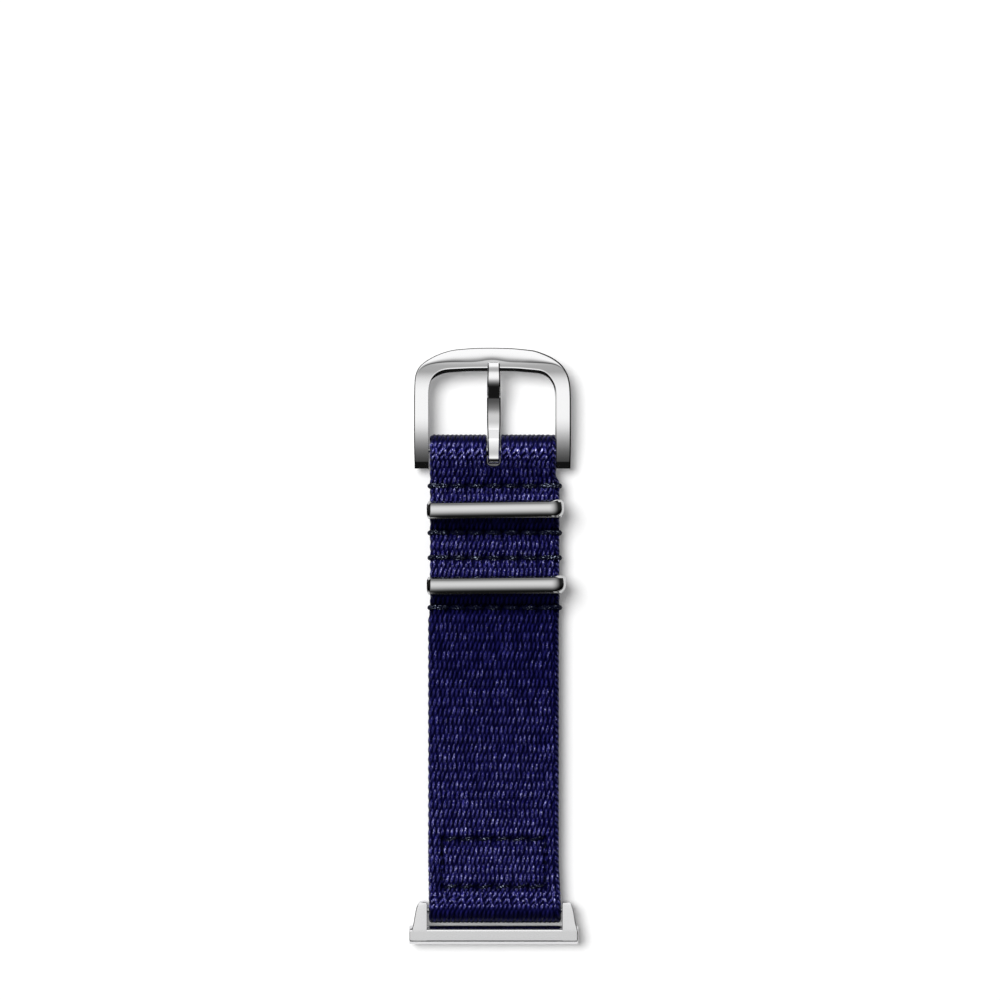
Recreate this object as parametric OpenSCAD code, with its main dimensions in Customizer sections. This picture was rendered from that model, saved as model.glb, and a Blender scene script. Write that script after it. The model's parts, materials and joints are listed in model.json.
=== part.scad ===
// Nylon watch strap, buckle side: a doubled webbing strap that hangs on a slide-in lug adapter,
// with two metal keepers and a pin buckle. All sizes are in millimetres. X runs across the strap,
// Y along it from the watch to the buckle, and +Z points away from the wrist. The origin is the
// centre of the adapter's rail, and z = 0 is the plane where the two webbing layers meet.

/* [Webbing] */
// Width of the webbing
strap_w = 23.6; // [20:0.1:24]
// How much narrower the webbing is on each side between the buckle's legs
strap_narrowing = 0.4; // [0:0.05:0.6]
// Thickness of one layer of webbing
web_t = 1.4; // [1:0.05:1.6]
// Y of the end of the folded layer at the watch end
lug_fold_end_y = 18.9; // [18.4:0.1:19.4]
// Y of the end of the folded layer at the buckle end
buckle_fold_end_y = 58.7; // [56:0.1:59]
// Y of the first of the lines where the single layer bends
first_bend_y = 20.5; // [20.2:0.1:22]
// Distance between two bend lines
bend_step = 10; // [8:0.1:10]
// Gap between the two sides of a bend line
bend_gap = 0.15; // [0.05:0.01:0.3]

/* [Lug adapter] */
// How far the rail reaches past the outer face of an ear
rail_past = 1; // [0.8:0.1:3]
// Radius of the rail
rail_r = 1.7; // [1.6:0.05:2]
// Height of the rail's flats above and below its middle
rail_flat_z = 1.45; // [1.35:0.05:1.5]
// Gap between the webbing and an ear
ear_gap = 0.4; // [0.2:0.05:0.6]
// Width of an ear, across the strap
ear_w = 2.2; // [1.9:0.05:2.6]
// Radius of the round end of an ear
ear_r = 1.6; // [1.4:0.05:1.7]
// Y of the spring bar at the watch end
lug_bar_y = 4.5; // [4.3:0.05:4.8]

/* [Latch] */
// Radius of the latch's nose
latch_nose_r = 0.7; // [0.5:0.05:0.8]
// Radius of the flange that keeps the latch in the rail
latch_flange_r = 0.92; // [0.9:0.01:1]
// Thickness of the flange, and of the lip that holds it
latch_flange_t = 0.4; // [0.3:0.05:0.5]
// How far the nose stands out of the rail
latch_out = 0.45; // [0.3:0.05:0.5]

/* [Spring bars] */
// Radius of the spring bar's tube at the watch end
lug_tube_r = 0.75; // [0.7:0.05:0.8]
// Radius of the spring bar's tube at the buckle
buckle_tube_r = 1; // [0.9:0.05:1.05]
// Wall thickness of the tubes
tube_wall = 0.25; // [0.2:0.01:0.3]
// Radius of a tip's nose
nose_r = 0.45; // [0.35:0.01:0.45]
// How far a tip's nose reaches into its hole
nose_reach = 1.1; // [0.8:0.05:1.2]
// How far a tip slides in
tip_travel = 1.15; // [0.8:0.05:1.2]
// Thickness of a tip's collar
collar_t = 0.5; // [0.3:0.05:0.6]
// X of the inner end of a tip's stem
stem_end_x = 4.5; // [4:0.1:6]
// Radial clearance of a stem in its tube, and of a nose in its hole
pin_fit = 0.05; // [0.02:0.01:0.1]
// Radial clearance of the webbing round the watch end's tube
lug_loop_fit = 0.1; // [0.05:0.01:0.15]
// Radial clearance of the webbing round the buckle's tube
buckle_loop_fit = 0.15; // [0.05:0.01:0.2]

/* [Keepers] */
// Y of the keeper nearer the buckle
keeper_1_y = 77.6; // [77:0.1:78]
// Y of the keeper nearer the watch
keeper_2_y = 63.7; // [63.4:0.1:64.2]
// Room between the webbing and a keeper's side, when the keeper is in the middle
keeper_side_gap = 0.3; // [0.26:0.01:0.5]
// How far the keepers sit to the right of the strap's middle
keeper_shift = 0.25; // [0:0.01:0.25]
// Width of the keeper's flat wire, along the strap
keeper_wire_w = 2.8; // [2.4:0.05:2.9]
// Thickness of the keeper's side walls
keeper_side_t = 0.5; // [0.4:0.05:0.5]
// Thickness of the keeper's lower strip
keeper_strip_t = 0.7; // [0.5:0.05:0.7]
// Height of the gap's top above the lower strip's middle
keeper_gap_z = 4.1; // [3.8:0.05:4.5]
// Thickness of the keeper's upper bar
keeper_bar_t = 0.8; // [0.6:0.05:1]
// Half height of the tunnel between the layers for the lower strip
tunnel_half_z = 0.6; // [0.58:0.01:0.7]
// Half length of the tunnel
tunnel_half_y = 1.55; // [1.5:0.01:1.7]

/* [Buckle] */
// Y of the buckle's spring bar
buckle_bar_y = 88.45; // [88.2:0.05:88.6]
// Gap between the webbing and a leg of the buckle
leg_gap = 0.3; // [0.2:0.05:0.5]
// Width of a leg, across the strap
leg_w = 2.65; // [2:0.05:3]
// How far the legs reach past the spring bar's axis, towards the watch
leg_past = 3.35; // [2.8:0.05:3.8]
// Distance from the spring bar's axis to the outer edge of the top bar
buckle_reach = 18.6; // [16:0.1:21]
// Length of the rounded top, along the strap
buckle_round_l = 9.45; // [8:0.1:10.5]
// Width of the top bar, from the window to the outer edge
top_bar_w = 3.7; // [3.2:0.05:4]
// Squareness of the rounded top: 2 is an ellipse, larger is squarer
buckle_square = 3.25; // [2.5:0.05:4]
// How far the window's upper wall leans in towards the wrist side
window_lean = 0.55; // [0.2:0.05:0.7]
// Corner radius of the window
window_corner_r = 2.9; // [2:0.1:3.5]
// Height of the wrist side of the frame
frame_low_z = -1.4; // [-1.5:0.05:-1.2]
// Height of the legs' upper face
leg_top_z = 1.75; // [1.6:0.05:1.9]
// Height of the crest along the top bar
crest_z = 2.3; // [2.2:0.05:2.4]
// Distance from the crest to the outer edge
crest_in = 2.35; // [2.1:0.05:2.5]

/* [Tongue] */
// Width of the tongue
tongue_w = 2.2; // [1.8:0.05:2.3]
// Clearance beside the tongue in its slot and notch
tongue_side_gap = 0.22; // [0.15:0.01:0.3]
// Thickness of the tongue
tongue_t = 1.05; // [0.8:0.05:1.2]
// Distance from the crest to the tongue's tip
tip_in = 0.2; // [0.1:0.05:0.4]
// Height of the tongue's underside where it dips between the bar and the notch
tongue_dip_z = 0.7; // [0.5:0.05:1]
// Outer radius of the tongue's curl round the bar
curl_r = 2.2; // [2:0.05:2.3]
// Radial clearance of the curl on the bar
curl_fit = 0.06; // [0.03:0.01:0.1]
// Height of the notch's floor, where the tongue rests
notch_z = 1.7; // [1.6:0.05:1.8]
// Room between the tongue's curl and the closed end of the webbing's slot
slot_end_gap = 1.45; // [0.8:0.05:1.8]

/* [Stitching] */
// Gap between two stitches of a row
stitch_gap = 0.3; // [0.2:0.05:0.8]
// Width of a stitch
stitch_w = 0.9; // [0.6:0.05:0.9]
// Height of a stitch above the webbing
stitch_t = 0.35; // [0.2:0.05:0.45]
// Distance from one stitch of a row to the next
stitch_pitch = 3.26; // [3.1:0.01:3.35]
// Stitches in a row across the strap
row_stitches = 7; // [5:1:7]
// Y of the box stitch's end nearer the watch
box_low_y = 8.9; // [8.8:0.05:9.4]
// Y of the box stitch's end nearer the buckle
box_high_y = 17.6; // [17:0.05:18]
// Half the width of the box stitch
box_half_w = 9.4; // [8.5:0.1:10]

/* [Hidden] */
$fn = 48;

nylon_colour = [0.09, 0.09, 0.24];
thread_colour = [0.04, 0.05, 0.11];
steel_colour = [0.80, 0.81, 0.83];
aluminium_colour = [0.86, 0.86, 0.87];
spring_colour = [0.62, 0.63, 0.65];

// A cut reaches this far past the faces that it opens
past = 1;

strap_end_half_w = strap_w / 2 - strap_narrowing;
ear_inner_x = strap_w / 2 + ear_gap;
ear_outer_x = ear_inner_x + ear_w;
rail_half_l = ear_outer_x + rail_past;
keeper_half_w = strap_w / 2 + keeper_side_gap + keeper_side_t;
window_half_w = strap_end_half_w + leg_gap;
buckle_half_w = window_half_w + leg_w;
leg_end_y = buckle_bar_y - leg_past;
buckle_top_y = buckle_bar_y + buckle_reach;
buckle_shoulder_y = buckle_top_y - buckle_round_l;
window_top_y = buckle_top_y - top_bar_w;
crest_y = buckle_top_y - crest_in;
tongue_tip_y = crest_y - tip_in;
slot_end_y = buckle_bar_y - curl_r - slot_end_gap;
stitch_l = stitch_pitch - stitch_gap;

lug_loop_in_r = lug_tube_r + lug_loop_fit;
lug_loop_out_r = lug_loop_in_r + web_t;
buckle_loop_in_r = buckle_tube_r + buckle_loop_fit;
buckle_loop_out_r = buckle_loop_in_r + web_t;

// The layers spread over these lengths to pass round the bars
lug_spread_y = lug_bar_y + 3.8;
buckle_spread_y = buckle_bar_y - 5;
// The inner faces of the layers part a little nearer the bar
part_step = 0.4;

// Stitch rows, numbered from the buckle
row_1_y = 81.9;
row_2_y = 73.35;
row_3_y = 68.8;
row_4_y = 59.7;

bend_z = web_t / 2;
bend_y = [for (i = [0:3]) first_bend_y + i * bend_step];

latch_bore_r = latch_flange_r + pin_fit;
latch_flange_z = -rail_flat_z + latch_flange_t;
latch_bore_top_z = 0.95;
latch_spring_l = latch_bore_top_z - latch_flange_z - latch_flange_t;

spring_rings_per_curl = 8;
spring_sides = 6;
lug_wire_r = 0.08;
lug_coil_r = lug_tube_r - tube_wall - 0.06 - lug_wire_r;
buckle_wire_r = 0.1;
buckle_coil_r = buckle_tube_r - tube_wall - 0.09 - buckle_wire_r;
bar_spring_curls = 14;
latch_wire_r = 0.1;
latch_coil_r = 0.62;
latch_spring_curls = 2.125;

// Points along an arc in a plane, from one angle to another
function arc_points(centre, r, from, to, steps) = [
    for (i = [0:steps])
        let (a = from + (to - from) * i / steps)
        [centre[0] + r * cos(a), centre[1] + r * sin(a)]
];

// Angle between the line from a circle's centre to a point and the tangent point seen from it
function tangent_turn(centre, r, p) = acos(r / norm(p - centre));

// Corners of a rectangle with its own radius at the lower and the upper corners
function rounded_box(x0, x1, y0, y1, low_r, high_r) = concat(
    arc_points([x0 + low_r, y0 + low_r], low_r, 180, 270, 6),
    arc_points([x1 - low_r, y0 + low_r], low_r, 270, 360, 6),
    arc_points([x1 - high_r, y1 - high_r], high_r, 0, 90, 8),
    arc_points([x0 + high_r, y1 - high_r], high_r, 90, 180, 8)
);

// A drop: a circle with a point on the Y axis of its own plane, at the distance tip from the centre
function drop_points(centre, r, tip) =
    let (half = acos(r / abs(tip)))
    concat(
        [[centre[0] + tip, centre[1]]],
        tip > 0
            ? arc_points(centre, r, half, 360 - half, 24)
            : arc_points(centre, r, half - 180, 180 - half, 24)
    );

// Extrudes an outline drawn in Y and Z along X, from one X to another
module along_x(from, to) {
    translate([from, 0, 0])
        rotate([90, 0, 90])
            linear_extrude(to - from)
                children();
}

// Extrudes an outline drawn in X and Z along Y, centred on an Y
module along_y(middle, width) {
    translate([0, middle + width / 2, 0])
        rotate([90, 0, 0])
            linear_extrude(width)
                children();
}

module rod_x(r, from, to) {
    translate([from, 0, 0])
        rotate([0, 90, 0])
            cylinder(h = to - from, r = r);
}

// Copies a part made for the right side to the right or the left
module on_side(side) {
    mirror([side < 0 ? 1 : 0, 0, 0])
        children();
}

// Springs

// Centre of one ring of a coil that runs along X
function coil_centre(i, coil_r, wire_r, length, rings) =
    let (a = 360 * i / spring_rings_per_curl)
    [-length / 2 + wire_r + (length - 2 * wire_r) * i / (rings - 1), coil_r * cos(a), coil_r * sin(a)];

// Least clear distance from a coil to its own next turns
function coil_gap(coil_r, wire_r, length, rings) = min([
    for (i = [0:rings - 1], j = [i + spring_rings_per_curl / 2:rings - 1])
        norm(coil_centre(i, coil_r, wire_r, length, rings)
            - coil_centre(j, coil_r, wire_r, length, rings)) - 2 * wire_r
]);

module coil_spring(coil_r, wire_r, length, curls) {
    rings = round(curls * spring_rings_per_curl) + 1;
    climb = atan2((length - 2 * wire_r) / curls, 2 * PI * coil_r);
    points = [
        for (i = [0:rings - 1], k = [0:spring_sides - 1])
            let (
                a = 360 * i / spring_rings_per_curl,
                f = 360 * (k + 0.5) / spring_sides,
                out = [0, cos(a), sin(a)],
                along = [cos(climb), sin(a) * sin(climb), -cos(a) * sin(climb)]
            )
            coil_centre(i, coil_r, wire_r, length, rings)
                + wire_r * (cos(f) * out + sin(f) * along)
    ];
    sides = [
        for (i = [0:rings - 2], k = [0:spring_sides - 1])
            let (
                a = i * spring_sides + k,
                b = i * spring_sides + (k + 1) % spring_sides
            )
            each [[a, b, b + spring_sides], [a, b + spring_sides, a + spring_sides]]
    ];
    last = (rings - 1) * spring_sides;
    caps = [
        for (k = [1:spring_sides - 2])
            each [[0, k + 1, k], [last, last + k, last + k + 1]]
    ];
    echo("least gap from turn to turn of a spring, mm", coil_gap(coil_r, wire_r, length, rings));
    polyhedron(points = points, faces = concat(sides, caps), convexity = 10);
}

// Lug adapter and latch

// Seen from above, the ear on the right flares into the end of the rail
module ear_plan() {
    polygon([
        [ear_inner_x, 0],
        [rail_half_l, 0],
        [rail_half_l, 0.7],
        [rail_half_l - 0.2, 1.6],
        [rail_half_l - 0.65, 2.5],
        [ear_outer_x + 0.05, 3.5],
        [ear_outer_x, lug_bar_y + 0.9],
        [ear_outer_x - 0.35, lug_bar_y + ear_r],
        [ear_inner_x, lug_bar_y + ear_r]
    ]);
}

// Seen from the side, the ear runs from the rail's flats to its round end
module ear_side() {
    flat_end_y = sqrt(rail_r * rail_r - rail_flat_z * rail_flat_z);
    polygon(concat(
        arc_points([lug_bar_y, 0], ear_r, -90, 90, 24),
        [
            [flat_end_y, rail_flat_z],
            [0, rail_flat_z - 0.2],
            [0, -rail_flat_z + 0.2],
            [flat_end_y, -rail_flat_z]
        ]
    ));
}

module rail() {
    end_r = 1.3;
    intersection() {
        rod_x(rail_r, -rail_half_l, rail_half_l);
        translate([0, 0, -rail_flat_z])
            linear_extrude(2 * rail_flat_z)
                polygon(rounded_box(-rail_half_l, rail_half_l, -rail_r - past, rail_r + past, end_r, 0.1));
    }
}

module lug_adapter() {
    color(aluminium_colour)
        difference() {
            union() {
                rail();
                for (side = [-1, 1])
                    on_side(side)
                        intersection() {
                            translate([0, 0, -3])
                                linear_extrude(6)
                                    ear_plan();
                            along_x(ear_inner_x, rail_half_l + past)
                                ear_side();
                        }
            }
            for (side = [-1, 1])
                on_side(side)
                    translate([0, lug_bar_y, 0])
                        rod_x(nose_r + pin_fit, ear_inner_x - past, ear_inner_x + nose_reach + 0.15);
            translate([0, 0, latch_flange_z])
                cylinder(h = latch_bore_top_z - latch_flange_z, r = latch_bore_r);
            translate([0, 0, -rail_flat_z - past])
                cylinder(h = latch_flange_t + 2 * past, r = latch_nose_r + pin_fit);
        }
}

module latch_button() {
    color(spring_colour) {
        translate([0, 0, -rail_flat_z - latch_out + 0.15])
            cylinder(h = latch_out + latch_flange_t, r = latch_nose_r);
        translate([0, 0, -rail_flat_z - latch_out])
            cylinder(h = 0.15, r1 = latch_nose_r - 0.15, r2 = latch_nose_r);
        translate([0, 0, latch_flange_z])
            cylinder(h = latch_flange_t, r = latch_flange_r);
    }
}

module latch_spring() {
    color(spring_colour)
        translate([0, 0, latch_bore_top_z - latch_spring_l / 2])
            rotate([0, 90, 0])
                coil_spring(latch_coil_r, latch_wire_r, latch_spring_l, latch_spring_curls);
}

// Spring bars

// The tube ends short of the collars by the tips' travel and a little more
function tube_half(collar_x) = collar_x - collar_t - tip_travel - 0.1;

module bar_tube(y, r, collar_x) {
    translate([0, y, 0])
        difference() {
            rod_x(r, -tube_half(collar_x), tube_half(collar_x));
            rod_x(r - tube_wall, -tube_half(collar_x) - past, tube_half(collar_x) + past);
        }
}

// The collar's outer face stands at collar_x, just inside the ear or leg that the nose enters
module bar_tip(side, y, r, collar_x) {
    on_side(side)
        translate([0, y, 0]) {
            rod_x(r - tube_wall - pin_fit, stem_end_x, collar_x - collar_t);
            rod_x(r - pin_fit, collar_x - collar_t, collar_x);
            rod_x(nose_r, collar_x, collar_x + 0.1 + nose_reach);
        }
}

lug_collar_x = ear_inner_x - 0.1;
buckle_collar_x = window_half_w - 0.1;

module lug_bar_tube() {
    color(steel_colour)
        bar_tube(lug_bar_y, lug_tube_r, lug_collar_x);
}

module lug_bar_tip_left() {
    color(steel_colour)
        bar_tip(-1, lug_bar_y, lug_tube_r, lug_collar_x);
}

module lug_bar_tip_right() {
    color(steel_colour)
        bar_tip(1, lug_bar_y, lug_tube_r, lug_collar_x);
}

module lug_bar_spring() {
    color(spring_colour)
        translate([0, lug_bar_y, 0])
            coil_spring(lug_coil_r, lug_wire_r, 2 * stem_end_x, bar_spring_curls);
}

module buckle_bar_tube() {
    color(steel_colour)
        bar_tube(buckle_bar_y, buckle_tube_r, buckle_collar_x);
}

module buckle_bar_tip_left() {
    color(steel_colour)
        bar_tip(-1, buckle_bar_y, buckle_tube_r, buckle_collar_x);
}

module buckle_bar_tip_right() {
    color(steel_colour)
        bar_tip(1, buckle_bar_y, buckle_tube_r, buckle_collar_x);
}

module buckle_bar_spring() {
    color(spring_colour)
        translate([0, buckle_bar_y, 0])
            coil_spring(buckle_coil_r, buckle_wire_r, 2 * stem_end_x, bar_spring_curls);
}

// Webbing

// The side before a bend line ends in a half-round nose on the line, and the side after it is flat
function bend_nose(i) = arc_points([bend_y[i], bend_z], bend_z, -90, 90, 12);
function after_bend(i) = bend_y[i] + bend_z + bend_gap;

module webbing_lug_end() {
    bar = [lug_bar_y, 0];
    spread = [lug_spread_y, web_t];
    touch = atan2(spread[1] - bar[1], spread[0] - bar[0]) + tangent_turn(bar, lug_loop_out_r, spread);
    color(nylon_colour)
        along_x(-strap_w / 2, strap_w / 2)
            difference() {
                polygon(concat(
                    bend_nose(0),
                    [spread],
                    arc_points(bar, lug_loop_out_r, touch, 360 - touch, 32),
                    [[lug_spread_y, -web_t], [lug_fold_end_y, -web_t], [lug_fold_end_y, 0]]
                ));
                polygon(drop_points(bar, lug_loop_in_r, lug_spread_y - part_step - lug_bar_y));
            }
}

module webbing_span(i) {
    color(nylon_colour)
        along_x(-strap_w / 2, strap_w / 2)
            polygon(concat(
                [[after_bend(i - 1), web_t], [after_bend(i - 1), 0]],
                bend_nose(i)
            ));
}

module webbing_span_1() {
    webbing_span(1);
}

module webbing_span_2() {
    webbing_span(2);
}

module webbing_span_3() {
    webbing_span(3);
}

// Outline of the hump that a layer makes over a keeper's lower strip; dir is 1 on the upper face.
// Each step is a share of the hump's half length and of its height.
hump_half_l = tunnel_half_y + 1.75;
hump_steps = [[-1, 0], [-0.58, 0.8], [-0.33, 1], [0.33, 1], [0.58, 0.8], [1, 0]];
function hump(y, dir) = [
    for (step = hump_steps)
        [y - dir * step[0] * hump_half_l, dir * (web_t + step[1] * tunnel_half_z)]
];

// The tunnel narrows to a point over this length at each end
tunnel_taper = 1.1;
function tunnel(y) = [
    [y - tunnel_half_y - tunnel_taper, 0],
    [y - tunnel_half_y, -tunnel_half_z],
    [y + tunnel_half_y, -tunnel_half_z],
    [y + tunnel_half_y + tunnel_taper, 0],
    [y + tunnel_half_y, tunnel_half_z],
    [y - tunnel_half_y, tunnel_half_z]
];

module webbing_buckle_end() {
    bar = [buckle_bar_y, 0];
    spread = [buckle_spread_y, web_t];
    touch = atan2(spread[1] - bar[1], spread[0] - bar[0]) - tangent_turn(bar, buckle_loop_out_r, spread);
    slot_r = tongue_w / 2 + tongue_side_gap;
    color(nylon_colour)
        difference() {
            along_x(-strap_w / 2, strap_w / 2)
                difference() {
                    polygon(concat(
                        [
                            [after_bend(3), web_t],
                            [after_bend(3), 0],
                            [buckle_fold_end_y, 0],
                            [buckle_fold_end_y, -web_t]
                        ],
                        hump(keeper_2_y, -1),
                        hump(keeper_1_y, -1),
                        [[buckle_spread_y, -web_t]],
                        arc_points(bar, buckle_loop_out_r, -touch, touch, 32),
                        [spread],
                        hump(keeper_1_y, 1),
                        hump(keeper_2_y, 1)
                    ));
                    polygon(drop_points(bar, buckle_loop_in_r, buckle_spread_y + part_step - buckle_bar_y));
                    polygon(tunnel(keeper_1_y));
                    polygon(tunnel(keeper_2_y));
                }
            for (side = [-1, 1])
                scale([side, 1, 1])
                    translate([0, 0, -5])
                        linear_extrude(10)
                            polygon([
                                [strap_end_half_w, row_1_y + 1.9],
                                [strap_w / 2, row_1_y + 0.6],
                                [strap_w / 2 + past, row_1_y + 0.6],
                                [strap_w / 2 + past, buckle_top_y],
                                [strap_end_half_w, buckle_top_y]
                            ]);
            translate([0, slot_end_y + slot_r, -5])
                cylinder(h = 10, r = slot_r);
            translate([-slot_r, slot_end_y + slot_r, -5])
                cube([2 * slot_r, buckle_top_y - slot_end_y, 10]);
        }
}

// Stitching

// One stitch with round ends, flat on the upper face (dir 1) or the lower face (dir -1)
module stitch(x, y, length, turn, dir) {
    translate([x, y, dir > 0 ? web_t : -web_t - stitch_t])
        rotate([0, 0, turn])
            linear_extrude(stitch_t)
                polygon(concat(
                    arc_points([length / 2 - stitch_w / 2, 0], stitch_w / 2, -90, 90, 8),
                    arc_points([-length / 2 + stitch_w / 2, 0], stitch_w / 2, 90, 270, 8)
                ));
}

module stitch_row(y) {
    color(thread_colour)
        for (dir = [-1, 1], i = [0:row_stitches - 1])
            stitch((i - (row_stitches - 1) / 2) * stitch_pitch, y, stitch_l, 0, dir);
}

module stitch_row_1() {
    stitch_row(row_1_y);
}

module stitch_row_2() {
    stitch_row(row_2_y);
}

module stitch_row_3() {
    stitch_row(row_3_y);
}

module stitch_row_4() {
    stitch_row(row_4_y);
}

module box_stitch() {
    across = 6;
    across_pitch = 2 * box_half_w / across;
    along = 2;
    along_room = box_high_y - box_low_y - stitch_w - 0.3;
    along_pitch = along_room / along;
    color(thread_colour)
        for (dir = [-1, 1]) {
            for (y = [box_low_y, box_high_y], i = [0:across - 1])
                stitch((i - (across - 1) / 2) * across_pitch, y, across_pitch - 0.3, 0, dir);
            for (side = [-1, 1], i = [0:along - 1])
                stitch(
                    side * (box_half_w - stitch_w / 2),
                    (box_low_y + box_high_y) / 2 + (i - (along - 1) / 2) * along_pitch,
                    along_pitch - 0.3, 90, dir
                );
        }
}

// Keepers

module keeper(y) {
    top_z = keeper_gap_z + keeper_bar_t;
    half_strip = keeper_strip_t / 2;
    inner_half = keeper_half_w - keeper_side_t;
    edge_r = 0.6;
    color(steel_colour)
        translate([keeper_shift, 0, 0])
            difference() {
                intersection() {
                    along_y(y, keeper_wire_w)
                        polygon(rounded_box(-keeper_half_w, keeper_half_w, -half_strip, top_z, 0.35, 1.2));
                    along_x(-keeper_half_w - past, keeper_half_w + past)
                        polygon(rounded_box(
                            y - keeper_wire_w / 2, y + keeper_wire_w / 2, -half_strip, top_z, 0.15, edge_r
                        ));
                }
                along_y(y, keeper_wire_w + 2 * past)
                    polygon(rounded_box(-inner_half, inner_half, half_strip, keeper_gap_z, 0.3, 0.7));
            }
}

module keeper_1() {
    keeper(keeper_1_y);
}

module keeper_2() {
    keeper(keeper_2_y);
}

// Buckle

// Half of the rounded top, as a squared-off ellipse from the right leg to the left
function buckle_top_points(steps) = [
    for (i = [0:steps])
        let (a = 180 * i / steps)
        [
            buckle_half_w * sign(cos(a)) * pow(abs(cos(a)), 2 / buckle_square),
            buckle_shoulder_y + (buckle_top_y - buckle_shoulder_y) * pow(abs(sin(a)), 2 / buckle_square)
        ]
];

module buckle_plan() {
    foot = 0.7;
    polygon(concat(
        buckle_top_points(48),
        arc_points([-buckle_half_w + foot, leg_end_y + foot], foot, 180, 270, 6),
        [[-window_half_w - foot / 2, leg_end_y], [-window_half_w, leg_end_y + foot / 2]],
        arc_points([-window_half_w + past, leg_end_y + past], 0.01, 180, 90, 2),
        arc_points([window_half_w - past, leg_end_y + past], 0.01, 90, 0, 2),
        [[window_half_w, leg_end_y + foot / 2], [window_half_w + foot / 2, leg_end_y]],
        arc_points([buckle_half_w - foot, leg_end_y + foot], foot, 270, 360, 6)
    ));
}

// Seen from the side: the legs droop towards their free ends, and the top bar rises to a crest
module buckle_side() {
    polygon([
        [leg_end_y, frame_low_z + 0.6],
        [leg_end_y + 0.8, frame_low_z],
        [crest_y + 0.9, frame_low_z],
        [buckle_top_y - 0.15, crest_z - 3],
        [buckle_top_y, crest_z - 2.4],
        [buckle_top_y - 0.2, crest_z - 1.8],
        [buckle_top_y - 0.75, crest_z - 1.05],
        [crest_y + 0.75, crest_z - 0.4],
        [crest_y, crest_z],
        [window_top_y, leg_top_z + 0.15],
        [window_top_y - 1.2, leg_top_z],
        [buckle_bar_y + 0.34 * buckle_reach, leg_top_z],
        [buckle_bar_y + 0.16 * buckle_reach, leg_top_z - 0.2],
        [buckle_bar_y, leg_top_z - 0.55],
        [buckle_bar_y - leg_past / 2, leg_top_z - 1],
        [leg_end_y + 0.4, leg_top_z - 1.55]
    ]);
}

// The window, open between the legs, with its upper wall leaning in towards the wrist side
module buckle_window() {
    intersection() {
        translate([0, 0, -5])
            linear_extrude(10)
                polygon(concat(
                    arc_points(
                        [window_half_w - window_corner_r, window_top_y - window_corner_r],
                        window_corner_r, 0, 90, 10
                    ),
                    arc_points(
                        [-window_half_w + window_corner_r, window_top_y - window_corner_r],
                        window_corner_r, 90, 180, 10
                    ),
                    [[-window_half_w, leg_end_y - past], [window_half_w, leg_end_y - past]]
                ));
        along_x(-window_half_w - past, window_half_w + past)
            polygon([
                [leg_end_y - 2 * past, -5],
                [window_top_y - window_lean, -5],
                [window_top_y - window_lean, frame_low_z],
                [window_top_y, leg_top_z],
                [window_top_y, 5],
                [leg_end_y - 2 * past, 5]
            ]);
    }
}

module buckle_frame() {
    notch_r = tongue_w / 2 + tongue_side_gap;
    color(steel_colour)
        difference() {
            intersection() {
                translate([0, 0, -3])
                    linear_extrude(6)
                        buckle_plan();
                along_x(-buckle_half_w - past, buckle_half_w + past)
                    buckle_side();
            }
            buckle_window();
            for (side = [-1, 1])
                on_side(side)
                    translate([0, buckle_bar_y, 0])
                        rod_x(nose_r + pin_fit, window_half_w - past, window_half_w + nose_reach + 0.15);
            translate([0, tongue_tip_y + 0.45 - notch_r, notch_z])
                cylinder(h = 3, r = notch_r);
            translate([-notch_r, window_top_y - 3, notch_z])
                cube([2 * notch_r, tongue_tip_y + 0.45 - notch_r - window_top_y + 3, 3]);
        }
}

// Underside of the tongue: shares of its length from the bar, and of its climb to the notch
tongue_steps = [[0.075, 0.5], [0.17, 0.2], [0.34, 0], [0.52, 0], [0.65, 0.32], [0.76, 0.8], [0.86, 1]];
function tongue_edge(lift) = [
    for (step = tongue_steps)
        [
            buckle_bar_y + step[0] * (tongue_tip_y - buckle_bar_y),
            tongue_dip_z + step[1] * (notch_z - tongue_dip_z) + lift
        ]
];
function reversed(points) = [for (i = [len(points) - 1:-1:0]) points[i]];

module buckle_tongue() {
    tip_r = 0.6;
    color(steel_colour)
        difference() {
            union() {
                intersection() {
                    along_x(-tongue_w / 2, tongue_w / 2)
                        polygon(concat(
                            tongue_edge(0),
                            [
                                [tongue_tip_y - 0.2, notch_z],
                                [tongue_tip_y, notch_z + 0.25],
                                [tongue_tip_y, notch_z + tongue_t - 0.4],
                                [tongue_tip_y - 0.4, notch_z + tongue_t]
                            ],
                            reversed(tongue_edge(tongue_t)),
                            [[buckle_bar_y, curl_r - 0.06], [buckle_bar_y, curl_r - tongue_t]]
                        ));
                    translate([0, 0, -5])
                        linear_extrude(10)
                            polygon(rounded_box(
                                -tongue_w / 2, tongue_w / 2, buckle_bar_y - 3, tongue_tip_y, 0.1, tip_r
                            ));
                }
                translate([0, buckle_bar_y, 0])
                    rod_x(curl_r, -tongue_w / 2, tongue_w / 2);
            }
            translate([0, buckle_bar_y, 0])
                rod_x(buckle_tube_r + curl_fit, -tongue_w, tongue_w);
        }
}

lug_adapter();
latch_button();
latch_spring();
lug_bar_tube();
lug_bar_tip_left();
lug_bar_tip_right();
lug_bar_spring();
webbing_lug_end();
webbing_span_1();
webbing_span_2();
webbing_span_3();
webbing_buckle_end();
box_stitch();
stitch_row_1();
stitch_row_2();
stitch_row_3();
stitch_row_4();
keeper_1();
keeper_2();
buckle_frame();
buckle_bar_tube();
buckle_bar_tip_left();
buckle_bar_tip_right();
buckle_bar_spring();
buckle_tongue();
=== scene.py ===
"""Looks of the nylon watch strap: woven webbing, sewn thread, polished buckle and keepers, satin adapter.

Everything is built in the part's own frame, in metres: X across the strap, Y from the watch to the
buckle, Z away from the wrist. Places and sizes come from the solids' boxes and the values below.
"""

import json
import math

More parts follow.
